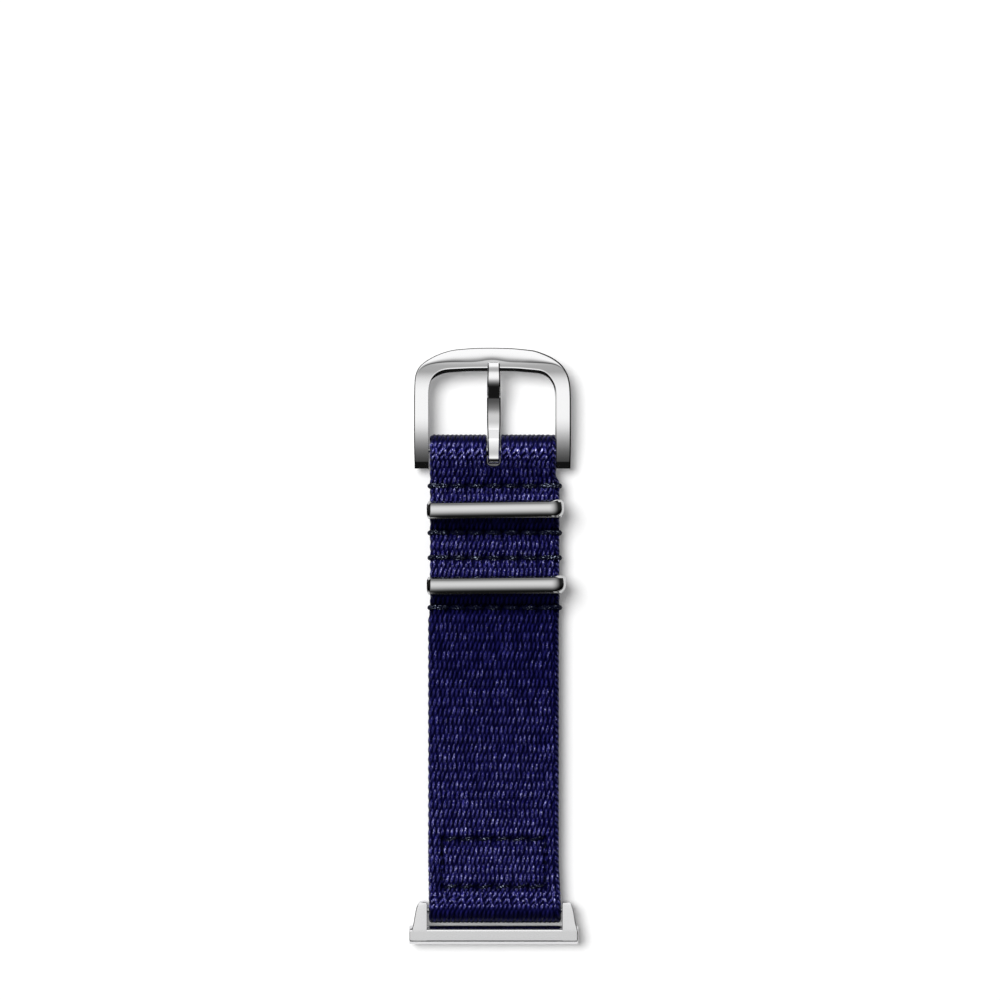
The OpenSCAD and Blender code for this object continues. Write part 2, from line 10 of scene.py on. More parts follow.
import bpy
import numpy as np
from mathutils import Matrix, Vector

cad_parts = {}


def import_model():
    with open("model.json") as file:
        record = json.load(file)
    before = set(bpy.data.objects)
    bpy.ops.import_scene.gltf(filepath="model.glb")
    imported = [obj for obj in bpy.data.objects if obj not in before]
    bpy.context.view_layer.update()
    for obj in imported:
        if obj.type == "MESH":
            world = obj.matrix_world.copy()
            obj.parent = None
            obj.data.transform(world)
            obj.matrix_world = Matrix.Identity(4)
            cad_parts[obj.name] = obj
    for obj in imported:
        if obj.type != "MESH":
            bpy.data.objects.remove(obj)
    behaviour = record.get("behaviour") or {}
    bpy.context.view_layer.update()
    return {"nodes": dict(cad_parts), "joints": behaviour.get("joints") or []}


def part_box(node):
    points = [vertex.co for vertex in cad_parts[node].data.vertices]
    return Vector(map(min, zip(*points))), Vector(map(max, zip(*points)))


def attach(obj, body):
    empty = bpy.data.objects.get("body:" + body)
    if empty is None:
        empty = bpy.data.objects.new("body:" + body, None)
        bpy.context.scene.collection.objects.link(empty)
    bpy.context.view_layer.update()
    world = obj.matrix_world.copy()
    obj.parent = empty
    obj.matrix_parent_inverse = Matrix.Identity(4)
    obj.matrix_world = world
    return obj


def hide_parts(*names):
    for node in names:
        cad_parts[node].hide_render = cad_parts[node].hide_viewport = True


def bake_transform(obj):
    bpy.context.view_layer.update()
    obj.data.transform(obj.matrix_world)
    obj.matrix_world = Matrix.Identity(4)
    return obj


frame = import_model()

MM = 0.001

# Places of the solids

def middle(node):
    low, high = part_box(node)
    return (low + high) / 2


SPAN_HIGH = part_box("webbing_span_1")[1]
WEB_T = SPAN_HIGH.z
FOLD_LOW, FOLD_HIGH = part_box("webbing_buckle_end")
LUG_FOLD_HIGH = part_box("webbing_lug_end")[1]
LUG_BAR_Y = middle("lug_bar_tube").y
BUCKLE_BAR_Y = middle("buckle_bar_tube").y
LUG_LOOP_R = LUG_FOLD_HIGH.z - WEB_T / 2
BUCKLE_LOOP_R = FOLD_HIGH.z - WEB_T / 2
BENDS = {j["name"]: j["pos_m"] for j in frame["joints"] if j["name"].startswith("web_bend")}
BEND_STEP = BENDS["web_bend_2"][1] - BENDS["web_bend_1"][1]
ROWS = [middle(f"stitch_row_{k}").y for k in (1, 2, 3, 4)]
KEEPERS = [middle("keeper_1"), middle("keeper_2")]
FLOOR_Z = FOLD_LOW.z

# Webbing: the floats' pitch and size, their relief and how far they stand proud of the solid
COLUMN_PITCH = 0.829 * MM
ROW_PITCH = 1.69 * MM
FLOAT_HALF_W = 0.315 * MM
FLOAT_HALF_L = 1.22 * MM
RELIEF = 0.30 * MM
PROUD = 0.10 * MM
LEAN = 0.15
LEAN_WAVE = 0.35
LEAN_WAVE_L = 5 * MM
FOLD_LEAN = 0.30
COLUMN_JITTER = 0.16
ROW_JITTER = 0.12
ROW_SHIFT = 0.80
FOLD_PACK = 1.6
MIDDLE_Y = (LUG_BAR_Y + BUCKLE_BAR_Y) / 2
FOLD_SPAN = (BUCKLE_BAR_Y - LUG_BAR_Y) / 2 - 1 * MM
EDGE_ROUND = 0.5 * MM
SLOT_ROUND = 0.35 * MM
SCALLOP = 0.06 * MM
# Its half widths, left and right: of the span and past the first stitch row, and what the sewn and the watch end add
SPAN_HALF_W = (11.93 * MM, 11.90 * MM)
PAST_ROW_HALF_W = (11.62 * MM, 11.38 * MM)
SEWN_END_ADDS = (-0.33 * MM, 0.10 * MM)
LUG_END_ADDS = (-0.14 * MM, 0.36 * MM)
# Its woven edges: slanting yarns and a groove on the right, a cord on the left, and where both fade out
YARN_PITCH = 0.60 * ROW_PITCH
YARN_SLANT = 0.9
YARN_FADE = (0.55 * MM, 0.8 * MM)
GROOVE_IN = 0.86 * MM
GROOVE_HALF_W = 0.13 * MM
CORD_PITCH = 1.1 * MM
CORD_FADE = (0.25 * MM, 0.5 * MM)
# Its mesh: step along, columns on each half of the upper and the lower side, and spare stations at the ends
FINE_STEP = 0.165 * MM
FOLD_STEP = 1.18 * FINE_STEP
HALF_COLUMNS = 120
UNDER_COLUMNS = 34
SPARE = 2
OVERLAP = 0.012 * MM
END_TONE = 0.4

# Folded ends: where they leave the flat and end, the humps over the keepers, and the tongue's slot
LUG_RETURN_Y = 18.9 * MM
LUG_SPREAD_Y = LUG_BAR_Y + 3.8 * MM
BUCKLE_SPREAD_Y = BUCKLE_BAR_Y - 5.0 * MM
BUCKLE_RETURN_Y = 58.7 * MM
HUMP_H = 0.6 * MM
HUMP_HALF_L = 3.3 * MM
SLOT_HALF_W = 1.32 * MM
SLOT_TIGHT_W = 1.22 * MM
SLOT_END_Y = BUCKLE_BAR_Y - 2.95 * MM
FOLD_STRETCH = 0.14

# Stitching: three plies of radius PLY_R on a circle of PLY_TURN_R, and the dips and holes that it pulls
STITCH_PITCH = 3.26 * MM
PLY_R = 0.25 * MM
PLY_TURN_R = 0.19 * MM
PLY_TWIST = 1.7 * MM
PLY_SIDES = 7
THREAD_STEP = 0.14 * MM
STITCH_BOW = 0.10 * MM
STITCH_DEPTH = 1.0 * MM
ROW_DIP = 0.46 * MM
ROW_DIP_HALF = 0.78 * MM
HOLE_R = 0.50 * MM
HOLE_DEPTH = 0.30 * MM
PUCKER = 0.16 * MM
# How far a pucker reaches along the strap, and its half width, at the rows and at the box stitch
ROW_PUCKER = (1.3 * MM, 0.38 * MM)
BOX_PUCKER = (1.0 * MM, 0.34 * MM)
BOX_LOW_Y = 8.9 * MM
BOX_HIGH_Y = 17.6 * MM
BOX_HALF_W = 9.4 * MM
BOX_STITCHES = 6
BOX_PITCH = 2 * BOX_HALF_W / BOX_STITCHES
BOX_ALONG = (BOX_HIGH_Y - BOX_LOW_Y) / 3
# How high the stitches lie above the dip; the box's lines along the strap are sunk, and its thread is thinner
ROW_LIE_H = 0.26 * MM
BOX_LIE_H = 0.22 * MM
BOX_LINE_H = 0.10 * MM
BOX_LINE_SINK = 0.30 * MM
BOX_THIN = 0.72
# The loops round the edge: how far in they turn, their radius, how deep they start and how far they drift along
LOOP_IN = 0.42 * MM
LOOP_R = 0.50 * MM
LOOP_DEPTH = 0.95 * MM
LOOP_DRIFT = 0.16 * MM
# Rows that lie in a keeper's shadow, and how bright their thread's painted highlights are there: painted shade
SHADED_ROWS = (1, 3)
SHADED_THREAD = 0.62


# Meshes

def build_mesh(name, points, quads, material):
    """A smooth mesh object from points (n, 3) and quads (m, 4); one with two equal last corners is a triangle."""
    points = np.asarray(points, dtype=np.float64).reshape(-1, 3)
    quads = np.asarray(quads, dtype=np.int64).reshape(-1, 4)
    three = quads[:, 2] == quads[:, 3]
    corners = np.concatenate([quads[~three].ravel(), quads[three][:, :3].ravel()])
    totals = np.repeat([4, 3], [np.sum(~three), np.sum(three)])
    starts = np.concatenate([[0], np.cumsum(totals)[:-1]])
    mesh = bpy.data.meshes.new(name)
    mesh.vertices.add(len(points))
    mesh.vertices.foreach_set("co", points.astype(np.float32).ravel())
    mesh.loops.add(len(corners))
    mesh.loops.foreach_set("vertex_index", corners.astype(np.int32))
    mesh.polygons.add(len(totals))
    mesh.polygons.foreach_set("loop_start", starts.astype(np.int32))
    mesh.polygons.foreach_set("loop_total", totals.astype(np.int32))
    mesh.polygons.foreach_set("use_smooth", np.ones(len(totals), dtype=bool))
    mesh.update(calc_edges=True)
    mesh.validate()
    mesh.materials.append(material)
    obj = bpy.data.objects.new(name, mesh)
    bpy.context.collection.objects.link(obj)
    return obj


def loft_faces(rings, around, closed=False, first=0):
    """Quads between neighbouring rings, each of `around` points, from the point numbered first on."""
    quads = []
    for i in range(rings if closed else rings - 1):
        a, b = first + i * around, first + ((i + 1) % rings) * around
        for k in range(around):
            n = (k + 1) % around
            quads.append((a + k, a + n, b + n, b + k))
    return quads


def fan(start, around, tip, flip):
    """Triangles from a ring of points to its tip."""
    sides = [(start + k, start + (k + 1) % around) for k in range(around)]
    return [(b, a, tip, tip) if flip else (a, b, tip, tip) for a, b in sides]


def loft(name, rings, material, sharp_deg, closed=False):
    """A closed solid from rings (r, k, 3); open ends get a fan. Edges past sharp_deg stay crisp."""
    rings = np.asarray(rings, dtype=np.float64)
    count, around = rings.shape[:2]
    points = list(rings.reshape(-1, 3))
    quads = loft_faces(count, around, closed)
    if not closed:
        for ring, flip in ((0, True), (count - 1, False)):
            quads += fan(ring * around, around, len(points), flip)
            points.append(rings[ring].mean(axis=0))
    obj = build_mesh(name, points, quads, material)
    obj.data.set_sharp_from_angle(angle=math.radians(sharp_deg))
    return obj


def part_of(obj, body, node):
    """Lets a piece ride on its body, in place of the solids of a node."""
    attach(obj, body)
    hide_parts(node)


def distances(line):
    """The distance along a line at each of its points."""
    return np.concatenate([[0], np.cumsum(np.linalg.norm(np.diff(line, axis=0), axis=1))])


def resampled(line, lengths, at):
    """A line's points at the distances at."""
    return np.stack([np.interp(at, lengths, column) for column in np.asarray(line).T], axis=1)


def softened(line):
    return (line[:-2] + 2 * line[1:-1] + line[2:]) / 4


def unit(vectors):
    return vectors / np.linalg.norm(vectors, axis=1)[:, None]


def read(table, at, at_unit=1.0, value_unit=1.0):
    """A value from a table of pairs, in line between them."""
    places, values = np.array(table, dtype=np.float64).T
    return np.interp(at, places * at_unit, values * value_unit)


def smoothstep(x, low, high):
    t = np.clip((x - low) / (high - low), 0.0, 1.0)
    return t * t * (3 - 2 * t)


def scatter(i, j, seed):
    """A number from 0 to 1 for each whole pair, the same on each run."""
    value = np.sin(i * 12.9898 + j * 78.233 + seed * 37.719) * 43758.5453
    return value - np.floor(value)


# Materials

POLISH_GRAIN = (900.0,) * 3
FLOOR_COLOUR = (0.93, 0.93, 0.93)
FLOOR_IN_METAL = (0.66, 0.66, 0.665)
FLOOR_GLOW = 0.10


def nodes_of(name):
    material = bpy.data.materials.new(name)
    material.use_nodes = True
    tree = material.node_tree
    return material, tree, tree.nodes["Principled BSDF"]


def ramp(tree, source, stops):
    node = tree.nodes.new("ShaderNodeValToRGB")
    while len(node.color_ramp.elements) < len(stops):
        node.color_ramp.elements.new(0.5)
    for element, (place, colour) in zip(node.color_ramp.elements, stops):
        element.position = place
        element.color = (*colour, 1.0)
    tree.links.new(source, node.inputs["Fac"])
    return node.outputs["Color"]


def noise(tree, vector, scales, detail, roughness):
    """Noise with its own scale, per metre, along each axis of a vector."""
    stretch = tree.nodes.new("ShaderNodeVectorMath")
    stretch.operation = "MULTIPLY"
    stretch.inputs[1].default_value = scales
    tree.links.new(vector, stretch.inputs[0])
    node = tree.nodes.new("ShaderNodeTexNoise")
    node.inputs["Scale"].default_value = 1.0
    node.inputs["Detail"].default_value = detail
    node.inputs["Roughness"].default_value = roughness
    tree.links.new(stretch.outputs["Vector"], node.inputs["Vector"])
    return node.outputs["Fac"]


def maths(tree, operation, a, b=None, clamp=False):
    node = tree.nodes.new("ShaderNodeMath")
    node.operation = operation
    node.use_clamp = clamp
    for socket, value in zip(node.inputs, (a, b)):
        if isinstance(value, (int, float)):
            socket.default_value = value
        elif value is not None:
            tree.links.new(value, socket)
    return node.outputs["Value"]


def times(tree, a, b, clamp=False):
    return maths(tree, "MULTIPLY", a, b, clamp)


def plus(tree, a, b, clamp=False):
    return maths(tree, "ADD", a, b, clamp)


def line_of(tree, value, gain, base):
    """gain * value + base."""
    return plus(tree, times(tree, value, gain), base)


def mix_colour(tree, factor, a, b, blend="MIX"):
    node = tree.nodes.new("ShaderNodeMix")
    node.data_type = "RGBA"
    node.blend_type = blend
    node.clamp_factor = True
    sockets = {s.identifier: s for s in node.inputs}
    for key, value in (("Factor_Float", factor), ("A_Color", a), ("B_Color", b)):
        if isinstance(value, (int, float)):
            sockets[key].default_value = value
        elif isinstance(value, tuple):
            sockets[key].default_value = (*value, 1.0)
        else:
            tree.links.new(value, sockets[key])
    return next(s for s in node.outputs if s.identifier == "Result_Color")


def attribute(tree, name, output="Fac"):
    node = tree.nodes.new("ShaderNodeAttribute")
    node.attribute_name = name
    return node.outputs[output]


def bump(tree, shader, height, distance, strength=1.0):
    node = tree.nodes.new("ShaderNodeBump")
    node.inputs["Distance"].default_value = distance
    node.inputs["Strength"].default_value = strength
    tree.links.new(height, node.inputs["Height"])
    tree.links.new(node.outputs["Normal"], shader.inputs["Normal"])


def nylon():
    """Navy nylon, with painted light and shade in its colour: painted shade in the gaps between the floats, painted
    light on their upper ends and painted highlights of filaments on their crests.
    """
    material, tree, shader = nodes_of("navy_webbing")
    relief, tone, rise = (attribute(tree, name) for name in ("relief", "tone", "rise"))
    cloth = attribute(tree, "cloth", "Vector")
    # Colour by relief: painted shade, darkest in the gaps between the floats
    body = ramp(tree, relief, [
        (0.0, (0.0, 0.0, 0.0035)),
        (0.35, (0.0002, 0.0001, 0.015)),
        (0.72, (0.0036, 0.0030, 0.052)),
        (1.0, (0.0155, 0.0148, 0.103)),
    ])
    fibre = noise(tree, cloth, (5200.0, 1500.0, 1000.0), 3.0, 0.65)
    speck = noise(tree, cloth, (4600.0, 3000.0, 1000.0), 1.0, 0.5)
    patch = noise(tree, cloth, (260.0, 420.0, 1000.0), 2.0, 0.5)
    # Painted highlights: glints and specks of filaments
    glint = ramp(tree, fibre, [(0.50, (0.0, 0.0, 0.0)), (0.68, (0.45, 0.45, 0.45))])
    spark = ramp(tree, speck, [(0.60, (0.0, 0.0, 0.0)), (0.69, (1.0, 1.0, 1.0))])
    shine = plus(tree, glint, spark, clamp=True)
    # Painted light: the upper ends of the floats are lighter, as they face the light
    lit = line_of(tree, rise, 0.85, 0.15)
    crest = times(tree, times(tree, shine, maths(tree, "POWER", relief, 2.0)), lit)
    crest = times(tree, crest, line_of(tree, tone, 0.9, 0.1), clamp=True)
    colour = mix_colour(tree, crest, body, (0.27, 0.27, 0.43))
    # Tone: random per float, with the painted light and shade along the band added in
    varied = maths(tree, "MAXIMUM", line_of(tree, tone, 0.7, 0.6), 0.03)
    shade = times(tree, plus(tree, lit, 0.25), varied)
    shade = times(tree, shade, plus(tree, patch, 0.55))
    shade = times(tree, shade, line_of(tree, fibre, 3.2, -0.55))
    grey = tree.nodes.new("ShaderNodeCombineColor")
    for socket in grey.inputs[:3]:
        tree.links.new(shade, socket)
    colour = mix_colour(tree, 1.0, colour, grey.outputs["Color"], "MULTIPLY")
    tree.links.new(colour, shader.inputs["Base Color"])
    tree.links.new(line_of(tree, fibre, 0.25, 0.26), shader.inputs["Roughness"])
    shader.inputs["Specular IOR Level"].default_value = 0.42
    shader.inputs["Specular Tint"].default_value = (0.14, 0.14, 1.0, 1.0)
    bump(tree, shader, fibre, 0.07 * MM, 1.0)
    return material


def thread():
    """Bonded thread: near-black plies, with painted highlights: pale filament specks in the colour where a stitch
    comes up, dimmer where shade is painted in the keepers' shadow and on the sunk lines.
    """
    material, tree, shader = nodes_of("dark_thread")
    place = tree.nodes.new("ShaderNodeTexCoord").outputs["Object"]
    fibre = noise(tree, place, (2600.0, 4200.0, 4200.0), 1.0, 0.5)
    # Painted highlights: pale specks where the glint share is high
    speck = ramp(tree, fibre, [(0.60, (0.0, 0.0, 0.0)), (0.68, (1.0, 1.0, 1.0))])
    shown = times(tree, speck, maths(tree, "POWER", attribute(tree, "glint_share"), 3.0))
    colour = mix_colour(tree, shown, (0.0016, 0.0019, 0.0085), (0.50, 0.58, 0.76))
    tree.links.new(colour, shader.inputs["Base Color"])
    shader.inputs["Roughness"].default_value = 0.45
    shader.inputs["Specular IOR Level"].default_value = 0.15
    shader.inputs["Specular Tint"].default_value = (0.4, 0.5, 1.0, 1.0)
    bump(tree, shader, fibre, 0.05 * MM, 0.8)
    return material


def metal(name, colour, grain, detail, roughness, gain, base, depth=0.0):
    """Metal whose roughness varies with a grain, which depth turns into fine ridges as well."""
    material, tree, shader = nodes_of(name)
    place = tree.nodes.new("ShaderNodeTexCoord").outputs["Object"]
    wear = noise(tree, place, grain, detail, roughness)
    shader.inputs["Base Color"].default_value = (*colour, 1.0)
    shader.inputs["Metallic"].default_value = 1.0
    tree.links.new(line_of(tree, wear, gain, base), shader.inputs["Roughness"])
    if depth:
        bump(tree, shader, wear, depth, 0.5)
    return material


def floor_white():
    """White, with its shadows, from above; darker in what metal mirrors, and clear from below."""
    material, tree, shader = nodes_of("floor_white")
    shader.inputs["Roughness"].default_value = 0.9
    shader.inputs["Specular IOR Level"].default_value = 0.0
    path = tree.nodes.new("ShaderNodeLightPath").outputs
    colour = mix_colour(tree, path["Is Glossy Ray"], FLOOR_COLOUR, FLOOR_IN_METAL)
    tree.links.new(colour, shader.inputs["Base Color"])
    seen = plus(tree, path["Is Camera Ray"], path["Is Glossy Ray"])
    seen = plus(tree, seen, path["Is Transmission Ray"], clamp=True)
    shader.inputs["Emission Color"].default_value = (1.0, 1.0, 1.0, 1.0)
    tree.links.new(times(tree, seen, FLOOR_GLOW), shader.inputs["Emission Strength"])
    clear = tree.nodes.new("ShaderNodeBsdfTransparent")
    from_below = tree.nodes.new("ShaderNodeNewGeometry").outputs["Backfacing"]
    surface = tree.nodes.new("ShaderNodeMixShader")
    tree.links.new(from_below, surface.inputs[0])
    tree.links.new(shader.outputs[0], surface.inputs[1])
    tree.links.new(clear.outputs[0], surface.inputs[2])
    tree.links.new(surface.outputs[0], tree.nodes["Material Output"].inputs["Surface"])
    return material


NYLON = nylon()
THREAD = thread()
STEEL = metal("polished_steel", (0.925, 0.925, 0.93), POLISH_GRAIN, 4.0, 0.6, 0.04, 0.05)
# The keepers' steel is the polished steel in a darker colour: painted shade, so that they shine less than the frame
KEEPER_STEEL = metal("keeper_steel", (0.72, 0.72, 0.72), POLISH_GRAIN, 4.0, 0.6, 0.04, 0.05)
ALUMINIUM = metal("satin_aluminium", (0.95, 0.95, 0.955), (9000.0,) * 3, 2.0, 0.5, 0.08, 0.13, 0.006 * MM)
# Spring steel, darker than the polished steel: painted shade, so that the bar tips look shaded in the gaps beside the
# strap
SPRING_STEEL = metal("spring_steel", (0.45, 0.455, 0.47), (12000.0, 300.0, 300.0), 2.0, 0.5, 0.15, 0.18, 0.004 * MM)
FLOOR = floor_white()


# Webbing

def weave(x, s, twist):
    """Height, tone and rise (0 to 1 each) of the floats at x across and s along the band.

    Each float is a leaf whose upper end lies over its neighbours and whose lower end dives under
    them; rise is 0 at the lower end and 1 at the upper one. Twist, 0 to 1, makes the floats of
    neighbouring columns lean against each other, as they do over a fold.
    """
    height = np.zeros_like(x)
    tone = np.full_like(x, 0.3)
    rise = np.full_like(x, 0.3)
    row = np.floor(s / ROW_PITCH + 0.5)
    for step in (-1, 0, 1):
        j = row + step
        shift = np.mod(j * ROW_SHIFT, 1.0)
        ds = s - j * ROW_PITCH
        slope = LEAN * (1 + LEAN_WAVE * np.sin(j * 1.7 + x / LEAN_WAVE_L))
        along = x - slope * ds
        i = np.round(along / COLUMN_PITCH - shift)
        centre = (i + shift) * COLUMN_PITCH
        across = along - centre - COLUMN_PITCH * COLUMN_JITTER * (scatter(i, j, 1) - 0.5)
        across = across - FOLD_LEAN * twist * ds * np.where(np.mod(i, 2.0) < 1, 1.0, -1.0)
        wide = FLOAT_HALF_W * (0.88 + 0.26 * scatter(i, j, 2))
        long = FLOAT_HALF_L * (0.92 + 0.16 * scatter(i, j, 3))
        ds = ds - ROW_PITCH * ROW_JITTER * (scatter(i, j, 4) - 0.5)
        v = np.clip(ds / long, -1, 1)
        taper = np.maximum(1 - np.abs(v) ** 2.0, 0.0) ** 0.55
        inside = 1 - np.abs(across / np.maximum(wide * taper, 1e-7)) ** 2.2
        h = np.sqrt(np.clip(inside, 0, 1)) * np.sqrt(taper) * (0.86 + 0.16 * v + 0.12 * scatter(i, j, 5))
        higher = h > height
        height = np.where(higher, h, height)
        tone = np.where(higher, scatter(i, j, 6), tone)
        rise = np.where(higher, smoothstep(v, -0.6, 0.55), rise)
    return np.clip(height, 0, 1), tone, rise


def selvedge(x, s, half_left, half_right, height):
    """The woven edges: slanting yarns along the right one and a drawn-in cord along the left one."""
    from_right = half_right - x
    phase = (s - from_right * YARN_SLANT) / YARN_PITCH
    yarn = np.abs(np.mod(phase, 1.0) - 0.5) * 2
    slant = np.sqrt(np.clip(1 - (yarn / 0.70) ** 2.4, 0, 1)) * 0.9
    near = 1 - smoothstep(from_right, *YARN_FADE)
    height = height * (1 - near) + slant * near
    from_left = x + half_left
    cord = 0.62 + 0.38 * np.sin(2 * math.pi * (s / ROW_PITCH + from_left / CORD_PITCH))
    near = 1 - smoothstep(from_left, *CORD_FADE)
    height = height * (1 - near) + cord * near
    groove = np.exp(-((from_right - GROOVE_IN) / GROOVE_HALF_W) ** 2)
    return height * (1 - 0.75 * groove)


def painted_shine_and_shade(y):
    """Painted light and shade added to the tone along the band: the doubled ends and the fold tops, which face the
    light, are painted brighter; the lug end's fold, which faces away, and the strips below the keepers, where their
    shadow falls, are painted darker.
    """
    tones = [(0, -0.6), (4.6, -0.6), (5.4, 0.9), (7.4, 0.9), (9.0, 0.55), (20, 0.45), (30, 0.26), (45, -0.08),
              (57, -0.16), (59.5, -0.3), (59.9, -0.7), (62.6, -0.7), (64.8, 0.6), (68.8, 0.6), (72.8, 0.4),
              (73.6, -0.3), (74, -0.7), (76.6, -0.7), (78.8, 0.8), (81.8, 0.8), (83, 0.1), (86.9, 0.1), (87.7, 1.6),
              (89.1, 1.6), (89.5, -0.4), (92, -0.6)]
    return read(tones, y, MM)


def packed(s):
    """The length along the band as the rows count it: they lie closer together over the folds."""
    at_buckle, at_lug = BUCKLE_BAR_Y - 1.6 * MM, LUG_BAR_Y + 3.2 * MM
    s = np.where(s > at_buckle, at_buckle + (s - at_buckle) * FOLD_PACK, s)
    return np.where(s < at_lug, at_lug + (s - at_lug) * FOLD_PACK, s)


def twisted(y):
    """Where the floats lean against each other: over the folds and just below the stitch rows."""
    zones = [(BUCKLE_BAR_Y - 1.3 * MM, BUCKLE_BAR_Y + 0.9 * MM), (LUG_BAR_Y + 0.9 * MM, LUG_BAR_Y + 3.1 * MM)]
    zones += [(row_y - 1.3 * MM, row_y - 0.3 * MM) for row_y in ROWS[:3]]
    amount = np.zeros_like(y)
    for low, high in zones:
        amount = np.maximum(amount, smoothstep(y, low, low + 0.5 * MM) * (1 - smoothstep(y, high - 0.5 * MM, high)))
    return amount


def sewn_dip(x, y):
    """How far the thread pulls the surface down, how deep its holes are and how much it puckers, 0 to 1 each; the same
    masks paint shade into them.
    """
    dip, hole, pucker = (np.zeros_like(x) for _ in range(3))

    def from_hole(place, pitch, start):
        return np.abs(np.mod(place / pitch + start, 1.0) - 0.5) * pitch

    def bell(distance, width):
        return np.exp(-(distance / width) ** 2)

    def puckered(from_line, near, reach, half_w):
        return np.exp(-np.abs(from_line) / reach) * bell(near, half_w)

    for row_y in ROWS:
        dip = np.maximum(dip, bell(y - row_y, ROW_DIP_HALF))
        near = from_hole(x, STITCH_PITCH, 0.0)
        hole = np.maximum(hole, bell(np.hypot(y - row_y, near), HOLE_R))
        pucker = np.maximum(pucker, puckered(y - row_y, near, *ROW_PUCKER))
    for line_y in (BOX_LOW_Y, BOX_HIGH_Y):
        inside = smoothstep(BOX_HALF_W + 0.4 * MM - np.abs(x), 0, 0.5 * MM)
        dip = np.maximum(dip, inside * bell(y - line_y, 0.62 * ROW_DIP_HALF))
        near = from_hole(x + BOX_HALF_W, BOX_PITCH, 0.5)
        near = np.where(np.abs(x) > BOX_HALF_W + BOX_PITCH / 2, 9 * MM, near)
        hole = np.maximum(hole, bell(np.hypot(y - line_y, near), HOLE_R))
        pucker = np.maximum(pucker, inside * puckered(y - line_y, near, *BOX_PUCKER))
    for side in (-1, 1):
        inside = smoothstep(y, BOX_LOW_Y - 0.4 * MM, BOX_LOW_Y) * smoothstep(-y, -BOX_HIGH_Y - 0.4 * MM, -BOX_HIGH_Y)
        from_line = x - side * BOX_HALF_W
        dip = np.maximum(dip, 0.8 * inside * bell(from_line, 0.30 * MM))
        near = from_hole(y - BOX_LOW_Y, BOX_ALONG / 2, 0.5)
        hole = np.maximum(hole, inside * bell(np.hypot(from_line, near), 0.34 * MM))
    return dip, hole, pucker


def bent_path(corners, step):
    """Points spaced evenly along a line through corners (y, z), with its turns softened.

    SPARE more points follow in line beyond each end, so that the surface's slope is known there.
    """
    corners = np.asarray(corners, dtype=np.float64)
    lengths = distances(corners)
    fine = 0.05 * MM
    path = resampled(corners, lengths, np.arange(0, lengths[-1], fine))
    width = int(0.5 * MM / fine)
    kernel = np.hanning(2 * width + 1)
    kernel /= kernel.sum()
    padded = np.concatenate([
        path[0] + np.outer(np.arange(-width, 0), path[1] - path[0]),
        path,
        path[-1] + np.outer(np.arange(1, width + 1), path[-1] - path[-2]),
    ])
    soft = np.stack([np.convolve(column, kernel, mode="valid") for column in padded.T], axis=1)
    lengths = distances(soft)
    at = np.linspace(0, lengths[-1], max(3, int(round(lengths[-1] / step)) + 1))
    path = resampled(soft, lengths, at)
    spare = np.arange(1, SPARE + 1)
    before = path[0] - np.outer(spare[::-1], path[1] - path[0])
    after = path[-1] + np.outer(spare, path[-1] - path[-2])
    gap = at[1] - at[0]
    at = np.concatenate([at[0] - spare[::-1] * gap, at, at[-1] + spare * gap])
    return np.concatenate([before, path, after]), at


def arc(centre_y, radius, from_deg, to_deg):
    """Corner points along an arc round a bar at z = 0."""
    count = max(2, int(abs(to_deg - from_deg) / 6))
    angles = np.radians(np.linspace(from_deg, to_deg, count + 1))
    return [(centre_y + radius * math.cos(a), radius * math.sin(a)) for a in angles]


def touch_deg(bar_y, radius, spread_y):
    """Angle at which the layer that leaves the flat at spread_y meets its loop round the bar."""
    reach = math.hypot(spread_y - bar_y, WEB_T / 2)
    turn = math.degrees(math.acos(min(1.0, radius / reach)))
    lie = math.degrees(math.atan2(WEB_T / 2, spread_y - bar_y))
    return lie - turn if spread_y < bar_y else lie + turn


def humped(from_y, to_y, side):
    """Corner points of a layer over the keepers' lower strips; side is 1 for the upper layer."""
    corners = [(from_y, side * WEB_T / 2)]
    direction = 1 if to_y > from_y else -1
    hump = [(-1, 0), (-0.58, 0.8), (-0.33, 1), (0.33, 1), (0.58, 0.8), (1, 0)]
    for keeper in sorted(KEEPERS, key=lambda k: direction * k.y):
        if min(from_y, to_y) < keeper.y < max(from_y, to_y):
            corners += [
                (keeper.y + direction * a * HUMP_HALF_L, side * (WEB_T / 2 + b * HUMP_H)) for a, b in hump
            ]
    corners.append((to_y, side * WEB_T / 2))
    return corners


def half_widths(y):
    """Half widths to the left and the right of the middle, along the band."""
    sewn_on = smoothstep(y, 57 * MM, 60 * MM)
    narrow = smoothstep(y, ROWS[0] + 0.6 * MM, ROWS[0] + 1.9 * MM)
    at_lug = 1 - smoothstep(y, LUG_BAR_Y, 15 * MM)
    return tuple(
        (span + sewn * sewn_on + lug * at_lug) * (1 - narrow) + past_row * narrow
        for span, sewn, lug, past_row in zip(SPAN_HALF_W, SEWN_END_ADDS, LUG_END_ADDS, PAST_ROW_HALF_W)
    )


def slot_half(y, z):
    """Half width of the tongue's slot, from its round end through the fold; it is tight in the lower layer."""
    widest = SLOT_TIGHT_W + (SLOT_HALF_W - SLOT_TIGHT_W) * smoothstep(z, -0.5 * MM, 0.5 * MM)
    past = y - SLOT_END_Y
    inside = np.clip(past / widest, 0, 1)
    return np.where(past > 0, widest * (1 - (1 - inside) ** 3) ** (1 / 3), 0.0)


